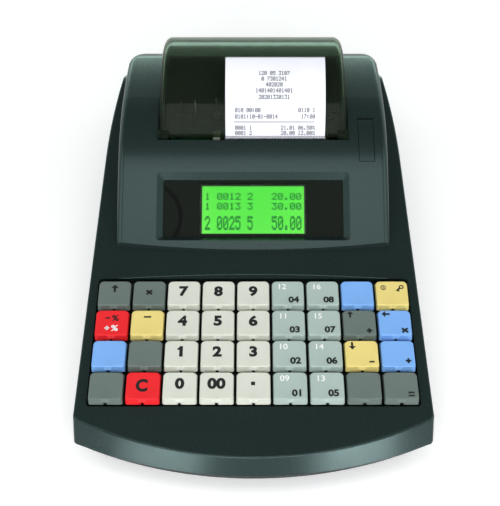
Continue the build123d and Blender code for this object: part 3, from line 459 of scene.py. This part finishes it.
bead_x = np.linspace(-1, 1, bead_rings) * bead_reach
bead_y = bead_middle - bead_bow * (bead_x / bead_reach) ** 2
taper = np.sqrt(np.clip((bead_reach + 0.1 - np.abs(bead_x)) / bead_taper, 0, 1))[:, None]
turn = np.linspace(0, 2 * np.pi, bead_sides, endpoint=False)
bead = np.stack([np.broadcast_to(bead_x[:, None], (bead_rings, bead_sides)),
                 bead_y[:, None] + taper * bead_half * np.cos(turn),
                 taper * bead_height * np.sin(turn)], -1).reshape(-1, 3)
bead_tips = np.stack([bead_x[[0, -1]], bead_y[[0, -1]], [0, 0]], -1)
quads = grid_faces(bead_rings, bead_sides, wrap=True)
this = np.arange(bead_sides)
following = (this + 1) % bead_sides
last_ring = (bead_rings - 1) * bead_sides
near_tip = np.stack([following, this, np.full(bead_sides, len(bead))], -1)
far_tip = np.stack([this + last_ring, following + last_ring,
                    np.full(bead_sides, len(bead) + 1)], -1)
bead_faces = np.concatenate([quads[:, [0, 1, 2]], quads[:, [0, 2, 3]], near_tip, far_tip])
make_piece("well_bead", on_plane(keyboard, np.concatenate([bead, bead_tips])),
           bead_faces, "case", case_skin)
print("bead is", 2 * bead_reach, "mm long")

# %% [markdown]
# ## Colours of the keys
# Colour groups the keys by use: white digits, pale grey-green departments, dark functions, and
# a few in red, yellow and blue. The plastic is dyed through, with a fine matt texture. The
# table below lists the keyboard from its front row to its rear row.

# %% Make the 36 keycaps
key_colours = {
    "white": (0.66, 0.68, 0.60), "green": (0.40, 0.50, 0.46), "dark": (0.135, 0.175, 0.158),
    "red": (0.83, 0.016, 0.022), "yellow": (0.80, 0.66, 0.22), "blue": (0.20, 0.43, 0.86)}
key_texture = {"roughness": 0.52, "specular": 0.3, "grain": 3000, "depth": 0.000006,
               "shade": 0.955}
key_table = ["dark red white white white green green dark dark",
             "blue dark white white white green green yellow blue",
             "red yellow white white white green green dark blue",
             "dark dark white white white green green blue yellow"]
first_key_y = 10.0            # from the near wall of the well to the middle of a key
key_finish = {name: moulded("key_" + name, colour, **key_texture)
              for name, colour in key_colours.items()}


def key_middle(row, place):
    """Middle of a key's foot on the keyboard plane, row 1 in front and place 1 at the left."""
    return np.array([(place - 5) * key_pitch, first_key_y + (row - 1) * key_pitch, 0])


for row, line in enumerate(key_table, 1):
    for place, colour in enumerate(line.split(), 1):
        node = f"key_{row}_{place}"
        cap = make_piece(f"keycap_{row}_{place}",
                         on_plane(keyboard, cap_points + key_middle(row, place)), cap_faces,
                         node, key_finish[colour])
        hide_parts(node)
print("made", row * place, "keycaps")

# %% [markdown]
# ## Legends on the keys
# Legends are printed with a pad, so they are thin and follow the dish of the key. Letters come
# from Blender's own font as flat curves; they are turned into meshes, fattened a little, and
# laid on the key's surface. Arrows are polygons. Word legends are left off: digits, signs and
# arrows are enough to read the keyboard.

# %% Legend helpers
black_ink = moulded("black_ink", (0.012, 0.013, 0.014), roughness=0.5, specular=0.3)
white_ink = moulded("white_ink", (0.88, 0.90, 0.90), roughness=0.5, specular=0.3)
ink_lift = 0.03


def text_shape(body, size, wide=1.0, bold=0.0):
    """Points (across, along) and faces of a word, centred on the origin, in millimetres."""
    curve = bpy.data.curves.new("legend", "FONT")
    curve.body, curve.size, curve.offset = body, size, bold
    curve.resolution_u = 4
    holder = bpy.data.objects.new("legend", curve)
    bpy.context.collection.objects.link(holder)
    bpy.context.view_layer.update()
    mesh = bpy.data.meshes.new_from_object(holder)
    mesh.calc_loop_triangles()
    points = np.empty(len(mesh.vertices) * 3)
    mesh.vertices.foreach_get("co", points)
    faces = np.empty(len(mesh.loop_triangles) * 3, int)
    mesh.loop_triangles.foreach_get("vertices", faces)
    points = points.reshape(-1, 3)[:, :2] * [wide, 1]
    points -= (points.min(0) + points.max(0)) / 2
    bpy.data.objects.remove(holder)
    bpy.data.curves.remove(curve)
    bpy.data.meshes.remove(mesh)
    return points, faces.reshape(-1, 3)


def arrow_shape(length, turn):
    """An arrow as a shaft and a head, pointing along and turned by so many degrees."""
    half, head = length / 2, length * 0.46
    flat = np.array([[-0.13, -1], [0.13, -1], [0.13, 0.2], [-0.13, 0.2],
                     [-0.44, 0.1], [0.44, 0.1], [0, 1]]) * [length, half]
    flat[4:6, 1] = half - head
    c, s = math.cos(math.radians(turn)), math.sin(math.radians(turn))
    return flat @ [[c, s], [-s, c]], np.array([[0, 1, 2], [0, 2, 3], [4, 5, 6]])


def place_shape(shape, x, y):
    """A flat shape moved to a place on the key's top."""
    return shape[0] + [x, y], shape[1]


def print_legend(name, row, place, shapes, ink):
    """Joins flat shapes into one legend that lies in the dish of a key."""
    flat = np.concatenate([points for points, faces in shapes])
    counts = np.cumsum([0] + [len(points) for points, faces in shapes[:-1]])
    faces = np.concatenate([faces + start for (points, faces), start in zip(shapes, counts)])
    y = flat[:, 1] + dish_y
    z = key_height - dish(flat[:, 0], y) + ink_lift
    points = np.column_stack([flat[:, 0], y, z]) + key_middle(row, place)
    return make_piece(name, on_plane(keyboard, points), faces, f"key_{row}_{place}", ink,
                      smooth=False)


print("ink lies", ink_lift, "mm proud")

# %% [markdown]
# The digits stand high on the white keys; the font's plain 1 gets a flag. Department keys carry
# two numbers: the lower one in black at the front right corner, the upper one in white at the
# rear left corner.

# %% Print the digits
digit_size, digit_wide, digit_bold, digit_place = 8.1, 1.12, 0.42, (-0.1, 1.3)
flag_points = np.array([[-2.0, 0.8], [0.3, 1.4], [0.3, 3.1], [-2.0, 1.9]])
flag = flag_points, np.array([[0, 1, 2], [0, 2, 3]])
digit_keys = {(4, 3): "7", (4, 4): "8", (4, 5): "9", (3, 3): "4", (3, 4): "5", (3, 5): "6",
              (2, 3): "1", (2, 4): "2", (2, 5): "3", (1, 3): "0", (1, 4): "00"}
for (row, place), digits in digit_keys.items():
    shapes = [text_shape(digits, digit_size, digit_wide, digit_bold)] + [flag] * (digits == "1")
    print_legend(f"digit_{row}_{place}", row, place,
                 [place_shape(shape, *digit_place) for shape in shapes], black_ink)
for place in (6, 7):
    for row in (1, 2, 3, 4):
        number = row + 4 * (place - 6)
        print_legend(f"lower_number_{row}_{place}", row, place,
                     [place_shape(text_shape(f"{number:02d}", 5.2, 1.08, 0.24), 3.1, -4.2)],
                     black_ink)
        print_legend(f"upper_number_{row}_{place}", row, place,
                     [place_shape(text_shape(f"{number + 8:02d}", 4.6, 1.1, 0.08), -2.9, 4.3)],
                     white_ink)
print("printed", len(digit_keys), "digit keys and 8 department keys")

# %% [markdown]
# The function keys show signs: arrows, arithmetic signs, a clock and a small key.

# %% Print the signs
ring_sides = 24


def bar(width, height):
    """A flat rectangle."""
    x, y = width / 2, height / 2
    return np.array([[-x, -y], [x, -y], [x, y], [-x, y]]), np.array([[0, 1, 2], [0, 2, 3]])


def annulus(radius, line):
    """A flat ring of a given line width."""
    turn = np.linspace(0, 2 * np.pi, ring_sides, endpoint=False)
    circle = np.stack([np.cos(turn), np.sin(turn)], -1)
    quads = grid_faces(2, ring_sides, wrap=True)
    points = np.concatenate([circle * radius, circle * (radius - line)])
    return points, np.concatenate([quads[:, [0, 1, 2]], quads[:, [0, 2, 3]]])


def turned(shape, degrees):
    """A flat shape turned about its middle."""
    c, s = math.cos(math.radians(degrees)), math.sin(math.radians(degrees))
    return shape[0] @ np.array([[c, s], [-s, c]]), shape[1]


plus = [bar(3.0, 1.1), bar(1.1, 3.0)]
cross = [turned(bar(4.0, 1.25), 40), turned(bar(4.0, 1.25), -40)]


def at(shapes, x, y):
    """Several flat shapes moved together."""
    return [place_shape(shape, x, y) for shape in shapes]


small_key = at([annulus(1.3, 0.65), turned(place_shape(bar(3.0, 1.0), -2.2, 0), 40),
                turned(place_shape(bar(0.8, 1.5), -2.8, -0.6), 40)], 5.4, 4.0)
sign_keys = {
    (4, 1): at([arrow_shape(4.8, 0)], 0, 3.2), (4, 2): at(cross, 0, 0.6),
    (4, 9): at([annulus(1.5, 0.5), bar(0.5, 1.5)], -4.6, 3.6) + small_key,
    (3, 2): at([bar(4.0, 1.0)], 0, 3.7),
    (3, 8): at([arrow_shape(4.0, 0)], -4.8, 5.2) + at(plus, 5.0, -5.0),
    (3, 9): at([arrow_shape(4.4, 90)], -4.6, 5.4) + at(cross, 5.0, -4.8),
    (2, 8): at([arrow_shape(4.4, 180)], -4.8, 4.6) + at([bar(2.8, 1.0)], 5.0, -5.0),
    (2, 9): at(plus, 5.2, -4.4), (1, 5): at([bar(2.1, 2.1)], -0.2, 1.3),
    (1, 2): [place_shape(text_shape("C", 9.4, 0.92, 0.45), -0.6, 0.2)],
    (1, 9): at([bar(3.2, 0.95)], 5.0, -4.0) + at([bar(3.2, 0.95)], 5.0, -5.8)}
for (row, place), shapes in sign_keys.items():
    print_legend(f"sign_{row}_{place}", row, place, shapes, black_ink)
percent = text_shape("%", 5.0, 1.1, 0.15)
print_legend("sign_3_1_minus", 3, 1, at([bar(2.6, 0.9)], -2.4, 3.0)
             + [place_shape(percent, 1.7, 3.0)], black_ink)
print_legend("sign_3_1_plus", 3, 1, at([bar(2.5, 0.9), bar(0.9, 2.5)], -2.4, -3.3)
             + [place_shape(percent, 1.7, -3.3)], white_ink)
print("printed", len(sign_keys) + 2, "signs")

# %% [markdown]
# ## The display window
# Behind a bevelled opening in the hump lies a glass plate. Its back is printed black, apart from
# a clear field over the liquid crystal panel, so most of it reads as a deep gloss black. The
# plate is a CAD node; the print is a mask in its material, worked out from the place of each
# point on the sloping face.

# %% Window glass with a printed back
display_middle = 24.75
panel_half = (29.65, 14.2)
clear_half = (30.6, 15.1)
dark_arc_middle, dark_arc_radius, dark_arc_half = (-62.1, -5.1), 20.4, 1.2


def math_node(tree, operation, first, second=0.0):
    """One arithmetic step on two numbers, each a socket or a value."""
    node = add_node(tree, "ShaderNodeMath", operation=operation)
    for socket, value in zip(node.inputs, (first, second)):
        if isinstance(value, (int, float)):
            socket.default_value = value
        else:
            tree.links.new(value, socket)
    return node.outputs["Value"]


def face_coordinates(tree, plane, middle):
    """Distances across and along a working plane from a middle on it, as two sockets."""
    origin, axes = plane
    place = add_node(tree, "ShaderNodeTexCoord")
    sockets = []
    for axis, start in ((axes[0], 0.0), (axes[1], middle)):
        node = add_node(tree, "ShaderNodeVectorMath", operation="DOT_PRODUCT")
        node.inputs[1].default_value = axis
        tree.links.new(place.outputs["Object"], node.inputs[0])
        zero = (float(origin @ axis) + start) * MM
        sockets.append(math_node(tree, "SUBTRACT", node.outputs["Value"], zero))
    return sockets


def inside(tree, distance, limit):
    """One where the distance from the middle is below the limit, in millimetres."""
    return math_node(tree, "LESS_THAN", math_node(tree, "ABSOLUTE", distance), limit * MM)


def printed_glass(name):
    """Glass that is clear over the panel and printed black elsewhere, with a thin darker arc."""
    material, tree, shader = new_material(name)
    across, along = face_coordinates(tree, hump_face, display_middle)
    clear = math_node(tree, "MULTIPLY", inside(tree, across, clear_half[0]),
                      inside(tree, along, clear_half[1]))
    squares = [math_node(tree, "POWER", math_node(tree, "SUBTRACT", socket, middle * MM), 2.0)
               for socket, middle in zip((across, along), dark_arc_middle)]
    reach = math_node(tree, "SQRT", math_node(tree, "ADD", *squares))
    arc = inside(tree, math_node(tree, "SUBTRACT", reach, dark_arc_radius * MM), dark_arc_half)
    # A thin arc left of the clear field is a little darker than the rest of the black.
    printed = two_tone(tree, arc, (0.0055, 0.0085, 0.006), (0.0015, 0.0025, 0.002))
    tree.links.new(two_tone(tree, clear, printed, (1, 1, 1)), shader.inputs["Base Color"])
    tree.links.new(clear, shader.inputs["Transmission Weight"])
    smear = noise(tree, 45, 3)
    tree.links.new(spread(tree, smear, 0.02, 0.05), shader.inputs["Roughness"])
    shader.inputs["IOR"].default_value = 1.12
    bumps(tree, shader, [(smear, 0.00001)])
    return material


window_glass = printed_glass("window_glass")
dress(window_glass, "display_window")
panel_frame = moulded("panel_frame", (0.012, 0.018, 0.012), roughness=0.4, specular=0.3)
dress(panel_frame, "display_module")
print("the clear field is", 2 * clear_half[0], "by", 2 * clear_half[1], "mm")

# %% [markdown]
# ## The liquid crystal panel
# The panel is lit from behind by green diodes along its edge, so it gives off light by itself
# and is a little uneven. It is modelled as a thin plate with a turned-down edge, with a weak
# emission that varies over it.

# %% Panel plate
panel_depth = 6.85
panel_rise = 0.45


def plate_points(half_x, half_y, z_low, z_high, edge, middle):
    """A plate as a grid of 6 rings: bottom middle, bottom rim, wall, edge, top rim, top middle.

    Each ring is a rectangle of points; rings shrink to a line at both middles."""
    side = np.linspace(-1, 1, 13)
    ones = np.ones(13)
    loop = np.concatenate([np.stack([side, -ones], -1)[:-1], np.stack([ones, side], -1)[:-1],
                           np.stack([-side, ones], -1)[:-1], np.stack([-ones, -side], -1)[:-1]])
    rings = []
    for inset, z in ((half_y, z_low), (edge, z_low), (0, z_low + edge),
                     (0, z_high - edge), (edge, z_high), (half_y, z_high)):
        half = [half_x - inset, half_y - inset]
        rings.append(np.column_stack([loop * half + [0, middle], np.full(len(loop), z)]))
    return np.stack(rings)


def lit_panel(name, bright, pale, strength):
    """Backlit panel: emission between two close greens, under a faintly rough film."""
    material, tree, shader = new_material(name)
    across, along = face_coordinates(tree, hump_face, display_middle)
    sides = math_node(tree, "DIVIDE", math_node(tree, "ABSOLUTE", across), panel_half[0] * MM)
    low = math_node(tree, "DIVIDE", along, -panel_half[1] * MM)
    uneven = math_node(tree, "MULTIPLY", math_node(tree, "POWER", sides, 4.0), 0.6)
    uneven = math_node(tree, "ADD", uneven, math_node(tree, "MULTIPLY", low, 0.25))
    cloud = spread(tree, noise(tree, 60, 2), -0.1, 0.15)
    tone = two_tone(tree, math_node(tree, "ADD", uneven, cloud), bright, pale)
    tree.links.new(tone, shader.inputs["Emission Color"])
    shader.inputs["Emission Strength"].default_value = strength
    shader.inputs["Base Color"].default_value = (0.01, 0.06, 0.01, 1)
    shader.inputs["Specular IOR Level"].default_value = 0.05
    tree.links.new(spread(tree, noise(tree, 2500, 2), 0.35, 0.45), shader.inputs["Roughness"])
    return material


panel_green = lit_panel("panel_green", (0.085, 0.74, 0.055), (0.17, 0.86, 0.09), 1.0)
plate = plate_points(panel_half[0] - 0.1, panel_half[1] - 0.1, -panel_depth,
                     -panel_depth + panel_rise, 0.1, display_middle)
panel_plate = make_piece("panel_plate", on_plane(hump_face, plate.reshape(-1, 3)),
                         grid_faces(*plate.shape[:2], wrap=True), "case", panel_green)
print("panel plate has", len(panel_plate.data.polygons), "faces")

# %% [markdown]
# ## Figures on the panel
# A panel of this kind shows figures as dots, five across and seven high. Each figure is a row
# of seven numbers whose bits are the dots. The three lines carry a register's ordinary
# content: a count, an item number and a sum. The last line is twice as high.

# %% Dot figures
dot_rows = {
    "0": (14, 17, 19, 21, 25, 17, 14), "1": (4, 12, 4, 4, 4, 4, 14),
    "2": (14, 17, 1, 2, 4, 8, 31), "3": (31, 2, 4, 2, 1, 17, 14),
    "4": (2, 6, 10, 18, 31, 2, 2), "5": (31, 16, 30, 1, 1, 17, 14),
    "6": (6, 8, 16, 30, 17, 17, 14), "7": (31, 1, 2, 4, 8, 8, 8),
    "8": (14, 17, 17, 14, 17, 17, 14), "9": (14, 17, 17, 15, 1, 2, 12),
    ".": (0, 0, 0, 0, 0, 12, 12), "-": (0, 0, 0, 31, 0, 0, 0), ":": (0, 12, 12, 0, 12, 12, 0),
    "%": (24, 25, 2, 4, 8, 19, 3), " ": (0,) * 7}
dot_table = {figure: np.argwhere(np.array(rows)[:, None] >> np.arange(4, -1, -1) & 1)
             for figure, rows in dot_rows.items()}


def dot_squares(line, middle, dot, cover=0.94):
    """Squares for every lit dot of a line centred on a middle; dot is (width, height)."""
    dot = np.array(dot)
    places = [dot_table[figure][:, ::-1] * [1, -1] + [6 * place, 0]
              for place, figure in enumerate(line)]
    centres = np.concatenate(places) - [3 * len(line) - 1, -3]
    corner = np.array([[-1, -1], [1, -1], [1, 1], [-1, 1]]) * cover / 2
    return ((centres[:, None, :] + corner) * dot + middle).reshape(-1, 2)


panel_lines = [("1 0012 2   20.00", (0, 7.95), (0.587, 0.56)),
               ("1 0013 3   30.00", (0, 2.1), (0.587, 0.56)),
               ("2 0025 5   50.00", (0, -7.9), (0.587, 1.12))]


figure_green = moulded("figure_green", (0.008, 0.10, 0.012), roughness=0.5, specular=0.05)
figure_shader = figure_green.node_tree.nodes["Principled BSDF"]
figure_shader.inputs["Emission Color"].default_value = (0.015, 0.20, 0.025, 1)
figure_shader.inputs["Emission Strength"].default_value = 1.0
dots = np.concatenate([dot_squares(*line, cover=1.35) for line in panel_lines])
points = np.column_stack([dots[:, 0], dots[:, 1] + display_middle,
                          np.full(len(dots), -panel_depth + panel_rise + 0.03)])
panel_figures = make_piece("panel_figures", on_plane(hump_face, points),
                           np.arange(len(points)).reshape(-1, 4), "case", figure_green,
                           smooth=False)
print("the panel shows", len(points) // 4, "dots")

# %% [markdown]
# ## The ticket
# The ticket rises from the slot of the cover and leans back in an arc, because paper keeps
# some of the curl of its roll. It is thermal paper: thin, matt, cut by the tear bar's teeth,
# with figures printed in a dark violet. The piece stands for the plain solid of the CAD model.

# %% Ticket sheet
arc_y, arc_z, arc_radius = 89.42, 65.74, 45.3
arc_start, arc_end = 73.9, 12.4
ticket_left, ticket_right = -16.1, 41.9
paper_thickness = 0.09
tooth_pitch, tooth_height = 1.6, 0.7
rows, columns = 41, 146


def ticket_points(across, length, lift=0.0):
    """A point of the ticket from its place across and its length along the arc, in metres."""
    turn = np.radians(arc_start) - length / arc_radius
    radius = arc_radius + lift
    return np.stack([across, arc_y - radius * np.sin(turn), arc_z + radius * np.cos(turn)],
                    -1) * MM


ticket_length = math.radians(arc_start - arc_end) * arc_radius
across = np.linspace(ticket_left, ticket_right, columns)
along = np.linspace(0, 1, rows)
teeth = np.abs((across - ticket_left) / tooth_pitch % 1 - 0.5) * 2 * tooth_height
reach = ticket_length - tooth_height + teeth
grid_x, grid_s = np.broadcast_to(across, (rows, columns)), along[:, None] * reach
front = ticket_points(grid_x, grid_s, paper_thickness / 2).reshape(-1, 3)
back = ticket_points(grid_x, grid_s, -paper_thickness / 2).reshape(-1, 3)
sheet = grid_faces(rows, columns)
count = rows * columns
index = np.arange(count).reshape(rows, columns)
rim = np.concatenate([index[0, :-1], index[:-1, -1], index[-1, :0:-1], index[:0:-1, 0]])
next_rim = np.roll(rim, -1)
edges = np.stack([next_rim, rim, rim + count, next_rim + count], -1)
ticket_faces = np.concatenate([sheet, sheet[:, ::-1] + count, edges])
ticket = make_piece("ticket", np.concatenate([front, back]), ticket_faces, "cover",
                    receipt_white)
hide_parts("receipt")
print("the ticket is", round(ticket_length, 1), "mm long")

# %% [markdown]
# The head of the printer makes the same dots as the panel, only much finer. Each line of the
# ticket is a string, a height above the slot and a place across; the dots are squares that
# follow the arc of the paper.

# %% Print on the ticket
print_colour = (0.03, 0.028, 0.045)
violet_print = moulded("violet_print", print_colour, roughness=0.6, specular=0.2)
print_dot = (0.277, 0.345)
print_middle, print_left, print_right = 12.2, -10.6, 36.0
centred = [("120 05 3107", 37.4), ("0 7301241", 33.9), ("402020", 30.4),
           ("1401401401401", 26.9), ("20201330131", 23.1)]
paired = [("010 00:00", "0110 1", 15.6), ("0101:10-01-0014", "17:00", 11.9),
          ("0001 1", "21.01 06.50%", 5.3), ("0001 2", "20.00 12.00%", 2.1)]
lines = [(line, print_middle, height) for line, height in centred]
lines += [("-" * 28, print_middle, 8.7)]
for left, right, height in paired:
    lines += [(left, print_left + 3 * len(left) * print_dot[0], height),
              (right, print_right - 3 * len(right) * print_dot[0], height)]
dots = np.concatenate([dot_squares(line, (x, height), print_dot, cover=1.3)
                       for line, x, height in lines])
points = ticket_points(dots[:, 0], dots[:, 1], paper_thickness / 2 + 0.02)
ticket_print = make_piece("ticket_print", points, np.arange(len(points)).reshape(-1, 4),
                          "cover", violet_print, smooth=False)
print("printed", len(lines), "lines,", len(points) // 4, "dots")

# %% [markdown]
# ## Table and background
# The machine stands on a plain white table that reaches past the view on all sides. Its
# material is matt white; to the camera alone it also gives off a little light, so that the
# open table is white and only the soft shadow beside the case stays.

# %% Table
table_half = 3.0


def table_white(name, lift):
    """Matt white that adds a little light of its own to what the camera sees directly."""
    material, tree, shader = new_material(name)
    seen = add_node(tree, "ShaderNodeLightPath")
    glow = math_node(tree, "MULTIPLY", seen.outputs["Is Camera Ray"], lift)
    tree.links.new(two_tone(tree, spread(tree, noise(tree, 3), 0, 1),
                            (0.90, 0.90, 0.90), (0.88, 0.88, 0.885)),
                   shader.inputs["Base Color"])
    shader.inputs["Roughness"].default_value = 0.9
    shader.inputs["Specular IOR Level"].default_value = 0.1
    shader.inputs["Emission Color"].default_value = (1, 1, 1, 1)
    tree.links.new(glow, shader.inputs["Emission Strength"])
    return material


table_mesh = bpy.data.meshes.new("table")
corners = np.array([[-1, -1, 0], [1, -1, 0], [1, 1, 0], [-1, 1, 0]]) * table_half
table_mesh.from_pydata(corners.tolist(), [], [(0, 1, 2, 3)])
table_mesh.materials.append(table_white("table_white", 0.3))
table = bpy.data.objects.new("table", table_mesh)
bpy.context.collection.objects.link(table)
print("table is", 2 * table_half, "m wide")

# %% [markdown]
# ## Light
# A white tent gives even light from everywhere, which the world does here at less than half
# strength. The camera sees it plain white; a mirror sees it dim overhead and bright at eye
# level, as a tent is with its lamps in front. Seven softboxes add the rest. Four stand high in
# front and at the sides, two low ones in front put the long highlights on the front band, and a
# greenish one low at the rear edges the shoulders and the cover.

# %% World
tent_strength = 0.38
mirror_low, mirror_high = 0.9, 0.16       # what mirrors see low in the tent and overhead

world = bpy.data.worlds.new("white_tent")
bpy.context.scene.world = world
world.use_nodes = True
tree = world.node_tree
tent = tree.nodes["Background"]
tent.inputs["Color"].default_value = (0.97, 0.99, 1.0, 1)
tent.inputs["Strength"].default_value = tent_strength
sky = add_node(tree, "ShaderNodeTexCoord")
height = add_node(tree, "ShaderNodeSeparateXYZ")
tree.links.new(sky.outputs["Generated"], height.inputs[0])
ceiling = spread(tree, height.outputs["Z"], mirror_low, mirror_high, 0.25, 0.75)
behind = math_node(tree, "MULTIPLY", spread(tree, height.outputs["Y"], 0, 1, 0.1, 0.7),
                   spread(tree, height.outputs["Z"], 0.2, 0, 0.0, 0.6))
ceiling = math_node(tree, "ADD", ceiling, behind)
seen = add_node(tree, "ShaderNodeLightPath")
mirrored = math_node(tree, "MAXIMUM", seen.outputs["Is Glossy Ray"],
                     seen.outputs["Is Transmission Ray"])
open_view = add_node(tree, "ShaderNodeBackground", Color=(1, 1, 1, 1), Strength=1.0)
mirror_view = add_node(tree, "ShaderNodeBackground", Color=(0.80, 1.0, 0.92, 1))
tree.links.new(ceiling, mirror_view.inputs["Strength"])
first, second = (add_node(tree, "ShaderNodeMixShader") for step in range(2))
for step, factor, other in ((first, mirrored, mirror_view),
                            (second, seen.outputs["Is Camera Ray"], open_view)):
    tree.links.new(factor, step.inputs[0])
    tree.links.new(other.outputs[0], step.inputs[2])
tree.links.new(tent.outputs[0], first.inputs[1])
tree.links.new(first.outputs[0], second.inputs[1])
tree.links.new(second.outputs[0], tree.nodes["World Output"].inputs["Surface"])
print("world strength", tent_strength)

# %% Softboxes
def softbox(name, place, target, size, radiance, tint=(1, 1, 1)):
    """A rectangular lamp at a place, turned to a target; power is pi x area x radiance."""
    lamp = bpy.data.lights.new(name, "AREA")
    lamp.shape, (lamp.size, lamp.size_y) = "RECTANGLE", size
    lamp.energy = math.pi * size[0] * size[1] * radiance
    lamp.color = tint
    holder = bpy.data.objects.new(name, lamp)
    holder.location = place
    direction = Vector(target) - Vector(place)
    holder.rotation_euler = direction.to_track_quat("-Z", "Y").to_euler()
    bpy.context.collection.objects.link(holder)
    return holder


middle = (0, 0.0, 0.03)
softboxes = [                 # name, place, size, radiance
    ("left_box", (-1.0, -0.2, 0.95), (0.7, 0.7), 1.8),
    ("right_box", (1.0, -0.2, 0.95), (0.7, 0.7), 1.8),
    ("wide_box", (0, -0.90, 0.68), (1.0, 0.3), 5.4),
    ("top_box", (0, -0.28, 1.06), (0.9, 0.36), 2.1),
    ("front_left_box", (-0.40, -0.98, 0.07), (0.34, 0.12), 14.0),
    ("front_right_box", (0.46, -0.96, 0.07), (0.34, 0.12), 20.0)]
for name, place, size, radiance in softboxes:
    softbox(name, place, middle, size, radiance)
softbox("rear_box", (0, 1.10, 0.22), middle, (1.3, 0.18), 3.2, tint=(0.70, 1.0, 0.86))
print(len(softboxes) + 1, "softboxes stand round", middle)
